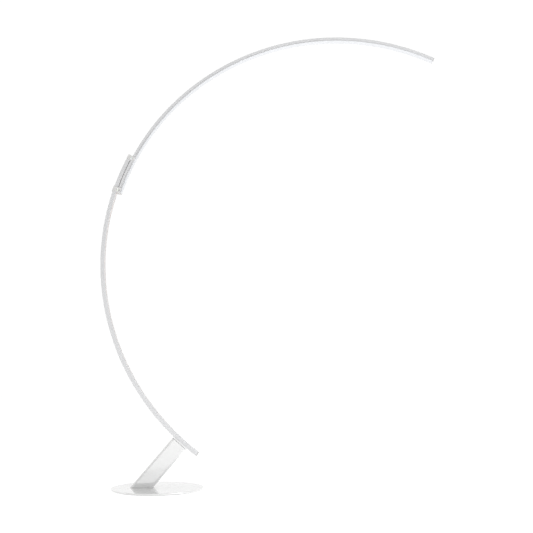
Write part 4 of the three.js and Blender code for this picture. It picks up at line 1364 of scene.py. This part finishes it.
def studio_floor():
    """A plain white floor that stays white up to the horizon."""
    bpy.ops.object.select_all(action="DESELECT")
    bpy.ops.mesh.primitive_plane_add(size=FLOOR_ACROSS, location=(CENTRE.x, 0, 0))
    floor = bpy.context.object
    floor.name = "studio_floor"
    matt = {"Emission_Strength": FLOOR_GLOW, "Specular_IOR_Level": 0.0}
    recipe = Recipe("Studio floor", (0.35, 0.35, 0.35), 0.8, **matt)
    recipe.shader.inputs["Emission Color"].default_value = (1, 1, 1, 1)
    recipe.tint(recipe.ramp(recipe.noise(3), 0, 1), recipe.shade_of(0.99))
    floor.data.materials.append(recipe.finish)


def studio_sky():
    """White behind the lamp and dim in front of it on the right, so that its front faces stand out."""
    world = bpy.data.worlds.new("Studio")
    bpy.context.scene.world = world
    world.use_nodes = True
    nodes, links = world.node_tree.nodes, world.node_tree.links
    background = nodes["Background"]
    background.inputs["Color"].default_value = (1, 1, 1, 1)
    direction = nodes.new("ShaderNodeTexCoord")
    backwards = nodes.new("ShaderNodeVectorMath")
    backwards.operation = "DOT_PRODUCT"
    backwards.inputs[1].default_value = SKY_BRIGHT_SIDE
    brightness = nodes.new("ShaderNodeMapRange")
    brightness.interpolation_type = "SMOOTHSTEP"
    limits = {"From Min": -0.75, "From Max": 0.3, "To Min": SKY_DIM, "To Max": SKY_BRIGHT}
    for name, number in limits.items():
        brightness.inputs[name].default_value = number
    links.new(direction.outputs["Generated"], backwards.inputs[0])
    links.new(backwards.outputs["Value"], brightness.inputs["Value"])
    links.new(brightness.outputs["Result"], background.inputs["Strength"])


def studio_lights():
    """A wide light above, two smaller ones from the sides, and a panel in front that shines in the stem."""
    low, high = CAD_BOX
    middle = (low + high) / 2
    softbox("Overhead light", (middle.x, -0.4, high.z + 1.6), middle, 2.6, 24)
    softbox("Side light", (1.4, -1.0, 0.5), (0.4, 0, 0.9), 1.0, 27, (0.98, 0.99, 1.0))
    softbox("Low light", (-1.8, -0.35, 0.15), (0, 0, 0.1), 0.8, 9)
    panel = softbox("Floor panel", PANEL_PLACE, PANEL_PLACE + Z_AXIS, 3, 7, (1.0, 0.99, 0.975))
    panel.rotation_euler.z += PANEL_TURN


def studio_camera():
    """The camera, low in front of the lamp and looking slightly up."""
    camera = bpy.data.objects.new("Camera", bpy.data.cameras.new("Camera"))
    bpy.context.scene.collection.objects.link(camera)
    camera.location = CAMERA_PLACE
    camera.rotation_euler = (CAMERA_PITCH, 0, 0)
    camera.data.lens = CAMERA_LENS
    camera.data.sensor_width = CAMERA_SENSOR
    bpy.context.scene.camera = camera
    bpy.context.scene.view_settings.view_transform = "Standard"


class LAMP_OT_studio(bpy.types.Operator):
    """Floor, soft light and camera"""

    bl_idname = "lamp.studio"
    bl_label = "Studio"

    def execute(self, context):
        studio_floor()
        studio_sky()
        studio_lights()
        studio_camera()
        return {"FINISHED"}


# ---- Panel and start --------------------------------------------------------------------------------

STEPS = (
    LAMP_OT_base,
    LAMP_OT_stem,
    LAMP_OT_saddle,
    LAMP_OT_lower_arc,
    LAMP_OT_end_fitting,
    LAMP_OT_upper_arc,
    LAMP_OT_collar,
    LAMP_OT_inner_parts,
    LAMP_OT_studio,
)


class LAMP_PT_panel(bpy.types.Panel):
    """The lamp's sizes, colours and building steps"""

    bl_idname = "LAMP_PT_panel"
    bl_label = "Arc Floor Lamp"
    bl_space_type = "VIEW_3D"
    bl_region_type = "UI"
    bl_category = "Lamp"

    def draw(self, context):
        for group in (context.scene.lamp_sizes, context.scene.lamp_colours):
            box = self.layout.box()
            for name in type(group).__annotations__:
                box.prop(group, name)
        for step in STEPS:
            self.layout.operator(step.bl_idname)


CLASSES = (LampSizes, LampColours, *STEPS, LAMP_PT_panel)


def register():
    """Makes the panel, the operators and the two property groups known."""
    for item in CLASSES:
        bpy.utils.register_class(item)
    bpy.types.Scene.lamp_sizes = bpy.props.PointerProperty(type=LampSizes)
    bpy.types.Scene.lamp_colours = bpy.props.PointerProperty(type=LampColours)


def unregister():
    """Takes back what register() did."""
    del bpy.types.Scene.lamp_colours
    del bpy.types.Scene.lamp_sizes
    for item in reversed(CLASSES):
        bpy.utils.unregister_class(item)


def main():
    """Builds the lamp and its studio."""
    register()
    bpy.ops.lamp.base()
    bpy.ops.lamp.stem()
    bpy.ops.lamp.saddle()
    bpy.ops.lamp.lower_arc()
    bpy.ops.lamp.end_fitting()
    bpy.ops.lamp.upper_arc()
    bpy.ops.lamp.collar()
    bpy.ops.lamp.inner_parts()
    bpy.ops.lamp.studio()


if __name__ == "__main__":
    main()
